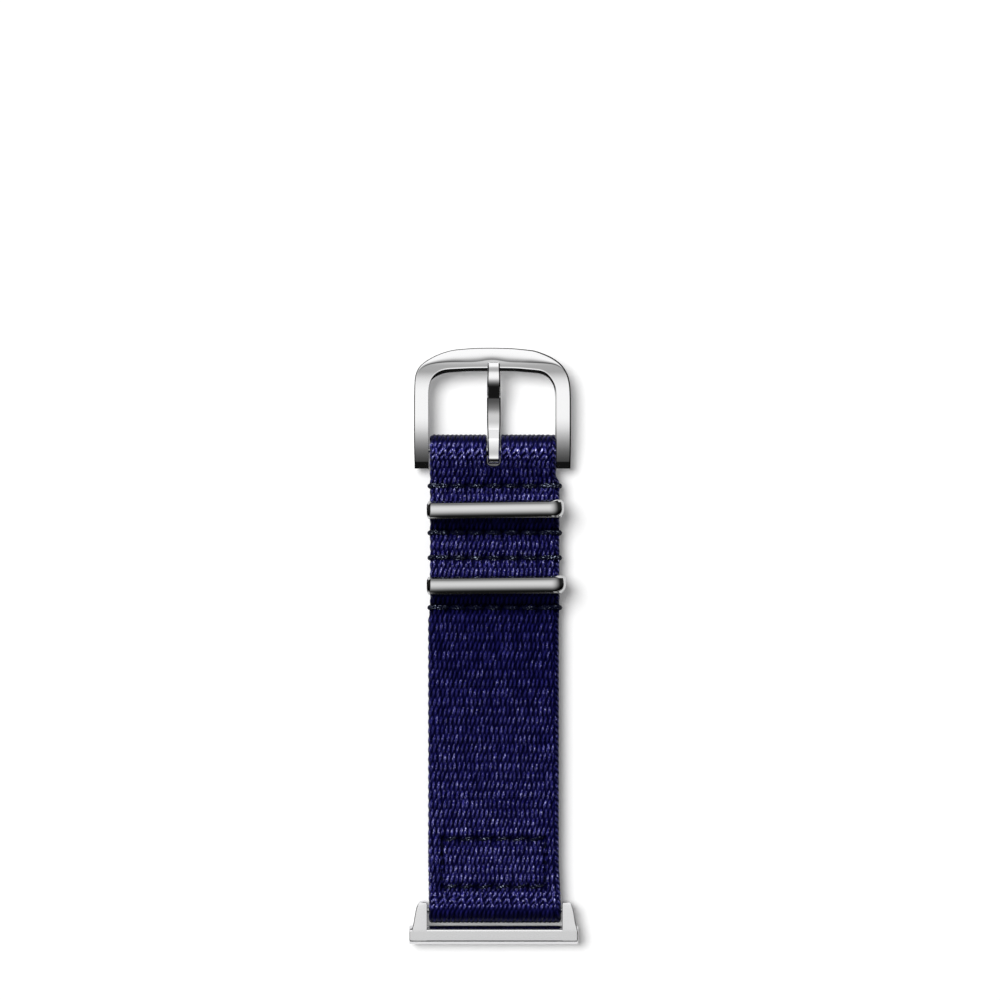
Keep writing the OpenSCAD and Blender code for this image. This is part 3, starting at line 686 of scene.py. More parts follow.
def band_columns(left, right, slot):
    """Columns across both halves of the upper and the lower side, from each edge to the middle or the slot."""
    fine = [0, 0.02, 0.05, 0.09, 0.14, 0.2, 0.28]
    spacing = np.concatenate([fine, np.linspace(0.37, HALF_COLUMNS - 7.5, HALF_COLUMNS - len(fine))])
    spacing = spacing / spacing[-1]
    under = np.concatenate([[0.004, 0.012, 0.03], np.linspace(0.06, 1.0, UNDER_COLUMNS - 3)])
    columns = []
    for side, shares in ((1, spacing), (-1, under)):
        from_left = -left[:, None] + (left - slot)[:, None] * shares
        from_right = right[:, None] - (right - slot)[:, None] * shares
        columns += [(from_left, side, side), (from_right, side, -side)]
    return columns


def band_surface(x, side, path, normal, s, left, right, slot):
    """Points of one side at the columns x (stations, columns), and their relief, tone, rise and cloth place."""
    edge = np.minimum(x + left[:, None], right[:, None] - x)
    cut = np.where(slot[:, None] > 0, np.abs(x) - slot[:, None], 1.0)
    round_off = np.sqrt(1 - (1 - np.clip(edge / EDGE_ROUND, 0, 1)) ** 2)
    round_cut = 0.55 + 0.45 * np.sqrt(1 - (1 - np.clip(cut / SLOT_ROUND, 0, 1)) ** 2)
    along = np.repeat(s[:, None], x.shape[1], axis=1)
    y = np.repeat(path[:, 0:1], x.shape[1], axis=1)
    shift = 0.0 if side > 0 else 0.5 * COLUMN_PITCH
    relief, tone, rise = weave(x + shift, packed(along), twisted(y))
    relief = selvedge(x, along, left[:, None], right[:, None], relief)
    deep = RELIEF * (1 - 0.45 * smoothstep(np.abs(y - MIDDLE_Y), FOLD_SPAN, FOLD_SPAN + 1.5 * MM))
    out = WEB_T / 2 + PROUD - deep + deep * relief
    if side > 0:
        dip, hole, pucker = sewn_dip(x, y)
        out = out - ROW_DIP * dip - HOLE_DEPTH * hole - PUCKER * pucker
        # Painted shade: lower relief darkens the colour in the holes, dips and puckers
        relief = relief * (1 - 0.85 * hole) * (1 - 0.25 * dip) * (1 - 0.45 * pucker)
        # Painted light and shade along the band: tone lighter where the cloth faces the light, darker where shade
        # falls
        extra = painted_shine_and_shade(y)
        tone = tone * (1 + np.minimum(extra, 0)) + extra
    out = side * out * round_off * round_cut
    points = np.stack([x, path[:, 0:1] + normal[:, 0:1] * out, path[:, 1:2] + normal[:, 1:2] * out], axis=2)
    return [points, relief, tone, rise, np.stack([x, along, np.zeros_like(x)], axis=2)]


def band_faces(index, joined):
    """Quads of the four half sides, the two edges and the slot's walls, from their grids of point numbers."""
    def quads(a, b, c, d):
        return np.stack([a, b, c, d], axis=-1).reshape(-1, 4)

    def strip(one, two, column):
        return quads(one[:-1, column], two[:-1, column], two[1:, column], one[1:, column])

    faces = []
    for grid, flip in zip(index, (False, True, True, False)):
        a, b, c, d = grid[:-1, :-1], grid[:-1, 1:], grid[1:, 1:], grid[1:, :-1]
        faces.append(quads(a, d, c, b) if flip else quads(a, b, c, d))
    slotted = ~(joined[:-1] & joined[1:])
    faces += [strip(index[2], index[0], 0), strip(index[1], index[3], 0)]
    return faces + [strip(index[0], index[2], -1)[slotted], strip(index[3], index[1], -1)[slotted]]


def band_mesh(name, path, s, slotted=False):
    """A closed band along a path (y, z) with woven relief on the side that the path's left faces."""
    tangent = unit(np.gradient(path, axis=0))
    normal = np.stack([-tangent[:, 1], tangent[:, 0]], axis=1)
    left, right = half_widths(path[:, 0])
    scallop = SCALLOP * np.cos(2 * math.pi * s / ROW_PITCH)
    left, right = left + scallop, right - scallop * 0.5
    slot = slot_half(path[:, 0], path[:, 1]) if slotted else np.zeros(len(path))
    inner = slice(SPARE, -SPARE)
    parts, normals = [], []
    for x, side, facing in band_columns(left, right, slot):
        made = band_surface(x, side, path, normal, s, left, right, slot)
        cross = np.cross(np.gradient(made[0], axis=1), np.gradient(made[0], axis=0)) * facing
        cross /= np.maximum(np.linalg.norm(cross, axis=2, keepdims=True), 1e-12)
        normals.append(cross[inner].reshape(-1, 3))
        parts.append([values[inner] for values in made])
    s, slot, tangent = s[inner], slot[inner], tangent[inner]
    stations = len(s)
    widths = [part[0].shape[1] for part in parts]
    firsts = np.concatenate([[0], np.cumsum(widths)]) * stations
    index = [first + np.arange(stations * width).reshape(stations, width) for first, width in zip(firsts, widths)]
    joined = slot <= 0
    index[1][joined, -1] = index[0][joined, -1]
    index[3][joined, -1] = index[2][joined, -1]
    faces = band_faces(index, joined)
    for station, way in ((0, -OVERLAP), (stations - 1, OVERLAP)):
        for part in parts:
            part[0][station, :, 1:] += way * tangent[station]
    points, relief, tone, rise, cloth = (
        np.concatenate([values.reshape(stations * width, *values.shape[2:]) for values, width in zip(same, widths)])
        for same in zip(*parts)
    )
    normals = np.concatenate(normals)
    for station, flip in ((0, False), (stations - 1, True)):
        ring = np.concatenate([
            index[0][station], index[1][station][::-1][1:], index[3][station], index[2][station][::-1][1:]
        ])
        ring = ring[np.concatenate([[True], np.diff(ring) != 0])]
        own = len(points) + np.arange(len(ring))
        centre = np.full_like(own, len(points) + len(ring))
        points = np.concatenate([points, points[ring], [points[ring].mean(axis=0)]])
        relief, tone, rise = (np.concatenate([values, values[ring], [END_TONE]]) for values in (relief, tone, rise))
        cloth = np.concatenate([cloth, cloth[ring], [[0, s[station], 0]]])
        facing = np.array([0.0, *tangent[station]]) * (1 if flip else -1)
        normals = np.concatenate([normals, np.tile(facing, (len(own) + 1, 1))])
        follow = np.roll(own, -1)
        faces.append(np.stack([own, follow, centre, centre] if flip else [follow, own, centre, centre], axis=1))
    faces = np.concatenate(faces)
    used = np.unique(faces)
    renumber = np.zeros(len(points), dtype=np.int64)
    renumber[used] = np.arange(len(used))
    obj = build_mesh(name, points[used], renumber[faces], NYLON)
    obj.data.normals_split_custom_set_from_vertices(normals[used].astype(np.float32))
    for key, values in (("relief", relief), ("tone", tone), ("rise", rise), ("cloth", cloth)):
        kind, field = ("FLOAT", "value") if values.ndim == 1 else ("FLOAT_VECTOR", "vector")
        layer = obj.data.attributes.new(key, kind, "POINT")
        layer.data.foreach_set(field, values[used].astype(np.float32).ravel())
    return obj


def row_near(y):
    """The middle of the row of floats nearest to y, where a cut doesn't show."""
    return round(y / ROW_PITCH) * ROW_PITCH


def lug_band():
    """From the folded end under the strap, round the watch end's bar and up to the middle of the first span."""
    touch = touch_deg(LUG_BAR_Y, LUG_LOOP_R, LUG_SPREAD_Y)
    end_y = row_near(BENDS["web_bend_1"][1] + BEND_STEP / 2)
    corners = [(LUG_RETURN_Y, -WEB_T / 2), (LUG_SPREAD_Y, -WEB_T / 2)]
    corners += arc(LUG_BAR_Y, LUG_LOOP_R, 360 - touch, touch)
    corners += [(LUG_SPREAD_Y, WEB_T / 2), (end_y, WEB_T / 2)]
    path, at = bent_path(corners, FINE_STEP)
    band = band_mesh("webbing_lug_band", path, at - at[-1 - SPARE] + end_y)
    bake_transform(band)
    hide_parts("webbing_lug_end")


def span_bands():
    """One band across each of the bend lines between the two doubled ends."""
    bodies = ["strap_1", "strap_2", "strap_3", "strap_buckle_end"]
    nodes = ["webbing_span_1", "webbing_span_2", "webbing_span_3"]
    for k, (a, b, node) in enumerate(zip(bodies, bodies[1:], nodes)):
        bend = BENDS[f"web_bend_{k + 2}"][1]
        start, end = row_near(bend - BEND_STEP / 2), row_near(bend + BEND_STEP / 2)
        if b == "strap_buckle_end":
            end += ROW_PITCH
        path, at = bent_path([(start, WEB_T / 2), (end, WEB_T / 2)], FINE_STEP)
        band = band_mesh(f"webbing_band_{k + 1}", path, at + start)
        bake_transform(band)
        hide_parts(node)


def buckle_bands():
    """The doubled end: the upper layer up to the second stitch row, then on round the buckle's bar and back."""
    start = row_near(BENDS["web_bend_4"][1] + BEND_STEP / 2) + ROW_PITCH
    cut_y = ROWS[1]
    corners = [corner for corner in humped(start, cut_y + 1 * MM, 1) if corner[0] <= cut_y]
    path, at = bent_path(corners + [(cut_y, WEB_T / 2)], FINE_STEP)
    upper = band_mesh("webbing_keeper_band", path, at + start)
    touch = touch_deg(BUCKLE_BAR_Y, BUCKLE_LOOP_R, BUCKLE_SPREAD_Y)
    corners = humped(cut_y, BUCKLE_SPREAD_Y, 1)
    for y, z in arc(BUCKLE_BAR_Y, BUCKLE_LOOP_R, touch, -touch):
        corners.append((y + FOLD_STRETCH * max(0.0, y - BUCKLE_BAR_Y), z))
    corners += humped(BUCKLE_SPREAD_Y, BUCKLE_RETURN_Y, -1)
    folded, along = bent_path(corners, FOLD_STEP)
    lower = band_mesh("webbing_folded_band", folded, along + at[-1 - SPARE] + start, slotted=True)
    for band in (upper, lower):
        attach(band, "strap_buckle_end")
        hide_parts("webbing_buckle_end")


# Stitching

def twisted_thread(route, thin):
    """Points, quads and the share of painted highlight (0 to 1) of three plies twisted round a route (n, 4)."""
    route = np.asarray(route, dtype=np.float64)
    lengths = distances(route[:, :3])
    at = np.linspace(0, lengths[-1], max(6, int(lengths[-1] / THREAD_STEP)))
    count = len(at)
    line = resampled(route, lengths, at)
    line, shown = line[:, :3].copy(), line[:, 3]
    for _ in range(2):
        line[1:-1] = softened(line)
    tangent = unit(np.gradient(line, axis=0))
    across = abs(route[-1, 0] - route[0, 0]) > abs(route[-1, 1] - route[0, 1])
    sideways = np.array([0.0, 1.0, 0.0] if across else [1.0, 0.0, 0.0])
    first = unit(sideways - (tangent @ sideways)[:, None] * tangent)
    second = np.cross(tangent, first)

    def around(angle):
        return np.cos(angle)[..., None] * first[:, None, :] + np.sin(angle)[..., None] * second[:, None, :]

    taper = np.clip(np.minimum(at, at[-1] - at) / (0.3 * MM), 0.3, 1)
    spokes = around(np.tile(2 * math.pi * np.arange(PLY_SIDES) / PLY_SIDES, (count, 1)))
    points, quads, glint_share, base = [], [], [], 0
    for ply in range(3):
        turn = 2 * math.pi * (at / PLY_TWIST + ply / 3)
        centre = line + thin * PLY_TURN_R * around(turn[:, None])[:, 0]
        rings = centre[:, None, :] + (thin * PLY_R * taper)[:, None, None] * spokes
        points += [rings.reshape(-1, 3), centre[:1], centre[-1:]]
        glint_share += [np.repeat(shown, PLY_SIDES), shown[:1], shown[-1:]]
        quads += loft_faces(count, PLY_SIDES, False, base)
        tip = base + count * PLY_SIDES
        quads += fan(base, PLY_SIDES, tip, True) + fan(tip - PLY_SIDES, PLY_SIDES, tip + 1, False)
        base = tip + 2
    return np.concatenate(points), quads, np.concatenate(glint_share)


def sewn(name, routes, body, node, thin=1.0):
    """One object of many threads, riding on a body in place of the solids of a node."""
    points, quads, glint_share, base = [], [], [], 0
    for route in routes:
        own, faces, shown = twisted_thread(route, thin)
        points.append(own)
        glint_share.append(shown)
        quads += [tuple(corner + base for corner in quad) for quad in faces]
        base += len(own)
    obj = build_mesh(name, np.concatenate(points), quads, THREAD)
    layer = obj.data.attributes.new("glint_share", "FLOAT", "POINT")
    layer.data.foreach_set("value", np.concatenate(glint_share).astype(np.float32))
    part_of(obj, body, node)


def one_stitch(start, end, side, height=ROW_LIE_H, bright=1.0):
    """A route that comes up at start, lies on the surface and goes down at end; side is 1 above."""
    start, end = np.asarray(start, dtype=np.float64), np.asarray(end, dtype=np.float64)
    across = np.array([-(end - start)[1], (end - start)[0]])
    across /= np.linalg.norm(across)
    route = []
    for t in np.linspace(0, 1, 25):
        wave = math.sin(math.pi * t)
        rise = min(1.0, 1.18 * wave ** 0.95)
        place = start + (end - start) * t - across * STITCH_BOW * math.sin(2 * math.pi * t)
        z = side * (WEB_T - ROW_DIP + height * rise - STITCH_DEPTH * (1 - rise) ** 1.2)
        # The fourth value is the share of painted highlight: most where the stitch lies up, scaled by bright, which
        # paints shaded rows dimmer
        route.append((place[0], place[1], z, bright * max(0.0, wave) ** 2.1))
    return route


def edge_loop(y, side, bright):
    """The last stitch of a row: up from its hole, over the surface and round the strap's edge."""
    left, right = half_widths(y)
    hole_x = side * 2.5 * STITCH_PITCH
    turn_x = side * ((right if side > 0 else left) - LOOP_IN)
    lie_z = WEB_T - ROW_DIP + ROW_LIE_H
    route = []
    for t in np.linspace(0, 1, 14):
        climb = smoothstep(t, 0.0, 0.32)
        route.append((
            hole_x + (turn_x - hole_x) * t, y + LOOP_DRIFT * t, lie_z - LOOP_DEPTH * (1 - climb), bright * climb,
        ))
    for a in np.radians(np.linspace(72, 0, 7)):
        c, s = math.cos(a), math.sin(a)
        # The painted highlight fades as the loop turns round the edge
        route.append((turn_x + side * LOOP_R * c, y + LOOP_DRIFT * s, lie_z * s, 0.35 * s))
    return route + [(x, 2 * y - py, -z, w) for x, py, z, w in reversed(route[:-1])]


def stitch_rows():
    for k, y in enumerate(ROWS):
        bright = SHADED_THREAD if k in SHADED_ROWS else 1.0
        routes = []
        for side in (1, -1):
            for x in np.arange(-2, 3) * STITCH_PITCH:
                start = (x - STITCH_PITCH * 0.43, y + 0.30 * MM)
                end = (x + STITCH_PITCH * 0.43, y - 0.27 * MM)
                routes.append(one_stitch(start, end, side, bright=bright))
        routes += [edge_loop(y, 1, bright), edge_loop(y, -1, max(bright, 0.8))]
        sewn(f"thread_row_{k + 1}", routes, "strap_buckle_end", f"stitch_row_{k + 1}")


def box_thread():
    """The box stitch: two rows across, and two thinner and deeper lines along."""
    routes = []
    for side in (1, -1):
        for y in (BOX_LOW_Y, BOX_HIGH_Y):
            for i in range(BOX_STITCHES):
                x = -BOX_HALF_W + (i + 0.5) * BOX_PITCH
                start, end = (x - BOX_PITCH * 0.48, y - 0.12 * MM), (x + BOX_PITCH * 0.48, y + 0.10 * MM)
                routes.append(one_stitch(start, end, side, BOX_LIE_H))
        for x in (-BOX_HALF_W, BOX_HALF_W):
            for i in range(3):
                y = BOX_LOW_Y + (i + 0.5) * BOX_ALONG
                ends = (x, y - BOX_ALONG * 0.48), (x + 0.05 * MM, y + BOX_ALONG * 0.48)
                route = one_stitch(*ends, side, BOX_LINE_H)
                # The sunk lines get a quarter of the painted highlight: painted shade
                routes.append([(px, py, pz - side * BOX_LINE_SINK, 0.25 * w) for px, py, pz, w in route])
    sewn("thread_box", routes, "strap_lug_end", "box_stitch", BOX_THIN)


# Buckle

FRAME_LOW, FRAME_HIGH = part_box("buckle_frame")
SHOULDER_Y = FRAME_HIGH.y - 9.45 * MM
WINDOW_TOP_Y = FRAME_HIGH.y - 3.7 * MM
LEG_TOP_Z = 1.75 * MM
LEG_END_Y = FRAME_LOW.y
FRAME_BOTTOM_Z = -1.4 * MM
BUCKLE_SHIFT = -0.16 * MM
# The narrow land beside the window, the half width of a crease, and the slopes of the outline's bevel and the wall
LAND_W = 0.18 * MM
CREASE = 0.012 * MM
BEVEL_SLOPE = 0.88
WALL_SLOPE = 0.59
# The crest's bulge before the tongue's rest
BULGE = 0.44 * MM
BULGE_X = -0.1 * MM
BULGE_HALF_W = 2.2 * MM
# How far the legs narrow at their ends, and the tongue's rest in the top bar
LEG_TAPER = 0.07 * MM
LEG_TAPER_L = 6 * MM
REST_HALF_W = 1.10 * MM
REST_Z = 1.68 * MM

# Corner curves of the right and the left side, as (x, y) in mm from the middle
OUTER_CURVES = (
    [(14.25, 97.6), (14.18, 99.45), (14.07, 100.68), (13.84, 101.68), (13.54, 102.53), (13.04, 103.35),
     (12.43, 104.13), (11.6, 104.8), (10.6, 105.42), (9.57, 105.87), (8.55, 106.27), (7.53, 106.6),
     (3.4, 107.0), (0, 107.06)],
    [(14.35, 97.6), (14.3, 99.5), (14.25, 101.0), (14.12, 102.1), (13.82, 102.92), (13.52, 103.52),
     (13.0, 104.05), (12.2, 104.66), (11.17, 105.28), (9.85, 105.9), (8.38, 106.4), (7.05, 106.72),
     (3.4, 107.02), (0, 107.06)],
)
INNER_CURVES = (
    [(11.65, 97.6), (11.6, 99.04), (11.54, 99.54), (11.29, 100.45), (10.94, 101.16), (10.43, 101.86),
     (9.92, 102.38), (9.32, 102.8), (8.52, 102.99), (7.5, 103.08), (4.3, 103.36), (0, 103.43)],
    [(11.75, 97.6), (11.75, 99.3), (11.7, 99.84), (11.54, 100.66), (11.3, 101.37), (10.79, 102.08),
     (10.19, 102.57), (9.38, 102.99), (8.34, 103.19), (7.04, 103.24), (4.3, 103.38), (0, 103.43)],
)
CREST_CURVES = (
    [(14.2, 99.0), (13.9, 101.4), (13.4, 102.5), (12.9, 103.2), (12.3, 103.6), (11.5, 104.01),
     (10.5, 104.15), (9.5, 104.24), (7.5, 104.32), (5, 104.4), (0, 104.45)],
    [(14.3, 100.0), (14.0, 101.9), (13.6, 102.8), (13.2, 103.2), (12.6, 103.65), (11.9, 103.97),
     (10.9, 104.18), (9.8, 104.33), (8.3, 104.43), (7, 104.46), (5, 104.45), (0, 104.45)],
)
# Width of the dark outline's bevel in mm, by the angle in degrees from the right leg to the left one
OUTLINE_WIDTHS = [(0, 0.25), (35, 0.25), (60, 0.17), (90, 0.15), (140, 0.14), (180, 0.17)]
# How far the window's wall leans in, in mm, by the angle from the shoulder
LEANS = (
    [(0, 0.28), (12, 0.28), (18, 0.33), (22, 0.35), (26, 0.5), (30, 0.56), (90, 0.56)],
    [(0, 0.05), (14, 0.05), (18, 0.14), (22, 0.38), (26, 0.55), (30, 0.64), (36, 0.62), (45, 0.57), (90, 0.57)],
)
# Slope of the top's inner facet in degrees along Y in mm, and of the outer one by its share across
INNER_SLOPES = [(80, 0), (98.9, 0), (99.4, 0.25), (99.95, 1.1), (100.5, 1.7), (101, 2.65), (101.6, 3.85), (102.1, 5.1),
                (102.7, 7), (103.8, 6.9), (104.13, 5.9), (104.3, 5.1), (104.6, 4.6), (108, 4.6)]
OUTER_SLOPES = [(0, -11), (0.04, -10.4), (0.13, -8.3), (0.22, -6.1), (0.31, -4.1), (0.40, -2.5), (0.49, -1.1),
                (0.58, 0.2), (0.67, 1.6), (0.76, 4), (0.86, 7), (1.0, 11)]


def inner_heights():
    """Heights of the frame's inner facet along Y, both in mm: it rises to the top bar and droops to the legs' ends."""
    ys = np.linspace(80, 108, 561)
    slope = np.tan(np.radians(read(INNER_SLOPES, ys)))
    slope += 0.0172 * np.clip(94.8 - ys, 0, None) ** 1.27
    height = np.concatenate([[0], np.cumsum((slope[1:] + slope[:-1]) / 2 * np.diff(ys))])
    return ys, height - np.interp(96.5, ys, height)


def around_shoulder(curve, fold):
    """Distance from the shoulder's middle to a corner curve, at the angles fold, softened."""
    curve = np.array(curve, dtype=np.float64) * MM
    below = np.array([[curve[0, 0], SHOULDER_Y - 4 * MM], [curve[0, 0], SHOULDER_Y - 0.02 * MM]])
    curve = np.concatenate([below, curve, curve[::-1][1:] * (-1, 1)])
    along = np.concatenate([[0], np.cumsum(np.hypot(*np.diff(curve, axis=0).T))])
    even = np.arange(0, along[-1], 0.05 * MM)
    kernel = np.hanning(61)
    line = []
    for axis in (0, 1):
        values = np.interp(even, along, curve[:, axis])
        padded = np.concatenate([2 * values[0] - values[30:0:-1], values, 2 * values[-1] - values[-2:-32:-1]])
        line.append(np.convolve(padded, kernel / kernel.sum(), mode="valid"))
    angles = np.arctan2(line[1] - SHOULDER_Y, line[0])
    return np.interp(fold, angles, np.hypot(line[0], line[1] - SHOULDER_Y))


def by_side(curves, angles, fold):
    right, left = (around_shoulder(curve, fold) for curve in curves)
    return np.where(angles < math.pi / 2, right, left)


def frame_stations():
    """The sections round the frame: inner and outer points, and the values that frame_ring takes with them."""
    legs = np.concatenate([
        np.linspace(LEG_END_Y, LEG_END_Y + 1.6 * MM, 14), np.linspace(LEG_END_Y + 1.8 * MM, SHOULDER_Y, 40)
    ])
    spans = [(0.6, 44, 90), (44.6, 76, 60), (76.3, 82.8, 24), (82.85, 97.15, 100), (97.2, 103.7, 24), (104, 135.4, 60),
             (136, 179.4, 90)]
    angles = np.radians(np.concatenate([np.linspace(*span) for span in spans]))
    fold = np.minimum(angles, math.pi - angles)
    r_out, r_in, r_crest = (by_side(curves, angles, fold) for curves in (OUTER_CURVES, INNER_CURVES, CREST_CURVES))
    r_crest = np.minimum(r_crest, r_out - 0.2 * MM)
    r_crest += BULGE * np.exp(-((r_crest * np.cos(angles) - BULGE_X) / BULGE_HALF_W) ** 2)
    rise = smoothstep(fold, math.radians(14), math.radians(30))
    lean = np.where(angles < math.pi / 2, *(read(table, np.degrees(fold), 1.0, MM) for table in LEANS))
    edge = read(OUTLINE_WIDTHS, np.degrees(angles)) * MM
    inner, outer = (np.stack([r * np.cos(angles), SHOULDER_Y + r * np.sin(angles)], axis=1) for r in (r_in, r_out))
    along_in, along_out = (unit(np.gradient(line, axis=0)) for line in (inner, outer))
    across_out = np.abs(along_out[:, 1] * np.cos(angles) - along_out[:, 0] * np.sin(angles))
    inward = np.stack([-along_in[:, 1], along_in[:, 0]], axis=1)
    taper = LEG_TAPER * (1 - smoothstep(legs, LEG_END_Y, LEG_END_Y + LEG_TAPER_L)) ** 2

    def with_legs(line, narrow):
        right, left = (np.stack([line[end, 0] - sign * narrow, legs], axis=1) for sign, end in ((1, 0), (-1, -1)))
        return np.concatenate([right, line, left[::-1]])

    def with_ends(at_right, values, at_left):
        ones = np.ones(len(legs))
        return np.concatenate([np.multiply.outer(ones, at_right), values, np.multiply.outer(ones, at_left)])

    share = np.clip(with_ends(1, (r_crest - r_in) / (r_out - r_in), 1), 0, 1)
    lean, edge = (with_ends(values[0], values, values[-1]) for values in (lean, edge))
    return (with_legs(inner, 0 * taper), with_legs(outer, taper), share, with_ends(0, rise, 0), lean, edge,
            with_ends((-1, 0), inward, (1, 0)), with_ends(1, across_out, 1))


def frame_ring(heights, inner, outer, share, rise, lean, edge, inward, across_out):
    """One closed section of the frame, from its inner lower edge up, over the crest and down outside.

    The sections run out from the shoulder's middle. Inward is the direction square to the window's
    edge, and across_out is the cosine between the section and the direction square to the outline.
    """
    width = np.linalg.norm(outer - inner)
    out = (outer - inner) / width
    low = FRAME_BOTTOM_Z
    facet = 0.22 * max(0.0, LEG_END_Y + 1.15 * MM - (inner[1] + outer[1]) / 2)
    slope = BEVEL_SLOPE - 0.3 * min(1.0, facet / (0.05 * MM)) - 0.24 * smoothstep(93 * MM - inner[1], 0.0, 5 * MM)

    def point(way, reach, z):
        return (inner[0] + way[0] * reach + BUCKLE_SHIFT, inner[1] + way[1] * reach, max(z - facet, low))

    def ground(across):
        return LEG_TOP_Z + MM * np.interp((inner[1] + out[1] * across) / MM, *heights)

    land = LAND_W / abs(out @ inward)
    bevel = edge / across_out
    land_z = ground(land)
    drop = WALL_SLOPE * lean
    ring = [point(inward, lean, low + (land_z - drop - low) * t) for t in np.linspace(0.05, 1, 5)]
    ring += [point(inward, lean * (1 - t), land_z - drop * (1 - t)) for t in np.linspace(0, 1, 5)[1:]]
    ring += [point(out, CREASE, land_z), point(out, land - CREASE, land_z)]
    ring.append(point(out, land + CREASE, ground(land + CREASE)))
    facet_end = width - bevel
    top_end = min(max(width * share, 3 * land), facet_end - CREASE)
    for t in np.linspace(0.06, 1, 14):
        across = land + CREASE + (top_end - land - CREASE) * t
        ring.append(point(out, across, ground(across)))
    z, before = ground(top_end), top_end
    for t in np.concatenate([[0.012], np.linspace(0.05, 1, 19)]):
        across = top_end + (facet_end - top_end) * t
        z -= (across - before) * across_out * math.tan(math.radians(read(OUTER_SLOPES, t))) * rise
        before = across
        ring.append(point(out, across, z))
    ring += [point(out, facet_end + bevel * t, z - slope * edge * t) for t in (0.06, 0.5, 1.0)]
    z -= slope * edge
    ring += [point(out, width - back * MM, height) for back, height in (
        (0, z - 0.10 * MM), (0, z - 0.9 * MM), (0.08, low + 0.5 * MM), (0.25, low + 0.12 * MM), (0.5, low)
    )]
    return ring + [point(inward, lean - 0.2 * MM, low)]


def notched(points):
    """Sinks the tongue's rest into the top bar; the tongue covers it."""
    tip_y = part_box("buckle_tongue")[1].y
    x, y, z = np.moveaxis(points, -1, 0)
    under = (np.abs(x) < REST_HALF_W) & (y < tip_y - 0.25 * MM) & (y > WINDOW_TOP_Y - 1.5 * MM)
    return np.stack([x, y, np.where(under, np.minimum(z, REST_Z), z)], axis=-1)


def buckle_frame():
    heights = inner_heights()
    rings = np.array([frame_ring(heights, *station) for station in zip(*frame_stations())])
    obj = loft("buckle_frame_polished", notched(rings), STEEL, 22)
    part_of(obj, "buckle", "buckle_frame")


# The tongue: thickness at its tip and at its curl, the curl's inner radius, and the height that the tip rests at
TIP_T = 1.05 * MM
CURL_T = 0.80 * MM
CURL_IN_R = 1.06 * MM
TIP_REST_Z = 1.70 * MM
TIP_BACK = 0.17 * MM
TIP_ROUND = 0.32 * MM
TONGUE_BEVEL = 0.22 * MM
TONGUE_SHIFT = 0.02 * MM
CURL_BACK = 0.30 * MM
# Its slope in degrees, and its half width in mm, by the distance from its tip in mm
TONGUE_TILTS = [
    (0, -10), (0.42, -10), (0.7, 4), (1.0, 6.6), (1.38, 6.4), (1.74, 2.3), (2.1, 0.1), (2.5, -0.1), (2.83, 2.2),
    (3.2, 6.4), (3.56, 10.6), (3.92, 17), (4.2, 21), (6.24, 21), (6.32, 13.4), (6.9, 13), (7.25, 12), (7.6, 10.7),
    (8.0, 9.9), (8.35, 8.6), (8.7, 6.8), (9.1, 5), (9.45, 4.1), (10.15, 4.1), (10.55, 4.3), (10.9, 3.9),
    (11.3, 2.8), (11.65, 1.5), (12.0, 0), (12.2, -13.5), (14.05, -13.5), (14.2, -0.1), (14.55, 0.9), (14.9, 1.7),
    (15.3, 2.7), (15.67, 3.4), (16.0, 4.1), (16.4, 4.2), (16.8, 3.2), (17.1, 0.5), (17.45, -1.5), (17.6, -0.6),
]
TONGUE_WIDTHS = [(0, 1.08), (1.5, 1.12), (3.5, 1.2), (6, 1.25), (11, 1.23), (14, 1.14), (17, 1.06), (30, 1.06)]


def tongue_line():
    """The tongue's middle line from tip to curl, as (y, z, thickness)."""
    low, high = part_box("buckle_tongue")
    step = 0.05 * MM
    reach = np.arange(0, 17.55 * MM, step)
    fall = np.tan(np.radians(read(TONGUE_TILTS, reach, MM))) * step
    curl_r = CURL_IN_R + CURL_T / 2
    climb = (reach > 12 * MM) & (reach < 14.2 * MM)
    top_z = TIP_REST_Z + TIP_T
    wanted = top_z - CURL_T / 2 - curl_r - fall[~climb].sum()
    fall[climb] *= wanted / fall[climb].sum()
    height = top_z - np.concatenate([[0], np.cumsum(fall[:-1])])
    thick = np.interp(reach, [4 * MM, 14 * MM], [TIP_T, CURL_T])
    line = [(high.y - TIP_BACK - a, z - t / 2, t) for a, z, t in zip(reach, height, thick)]
    back = BUCKLE_BAR_Y - low.y + CURL_BACK - CURL_T / 2
    for a in np.radians(np.arange(140, 372, 4)):
        c, s = math.cos(a), math.sin(a)
        r = (abs(c) ** 9 + abs(s) ** 9) ** (-1 / 9)
        line.append((BUCKLE_BAR_Y + r * c * (back if c < 0 else curl_r), r * s * curl_r, CURL_T))
    return np.array(line)


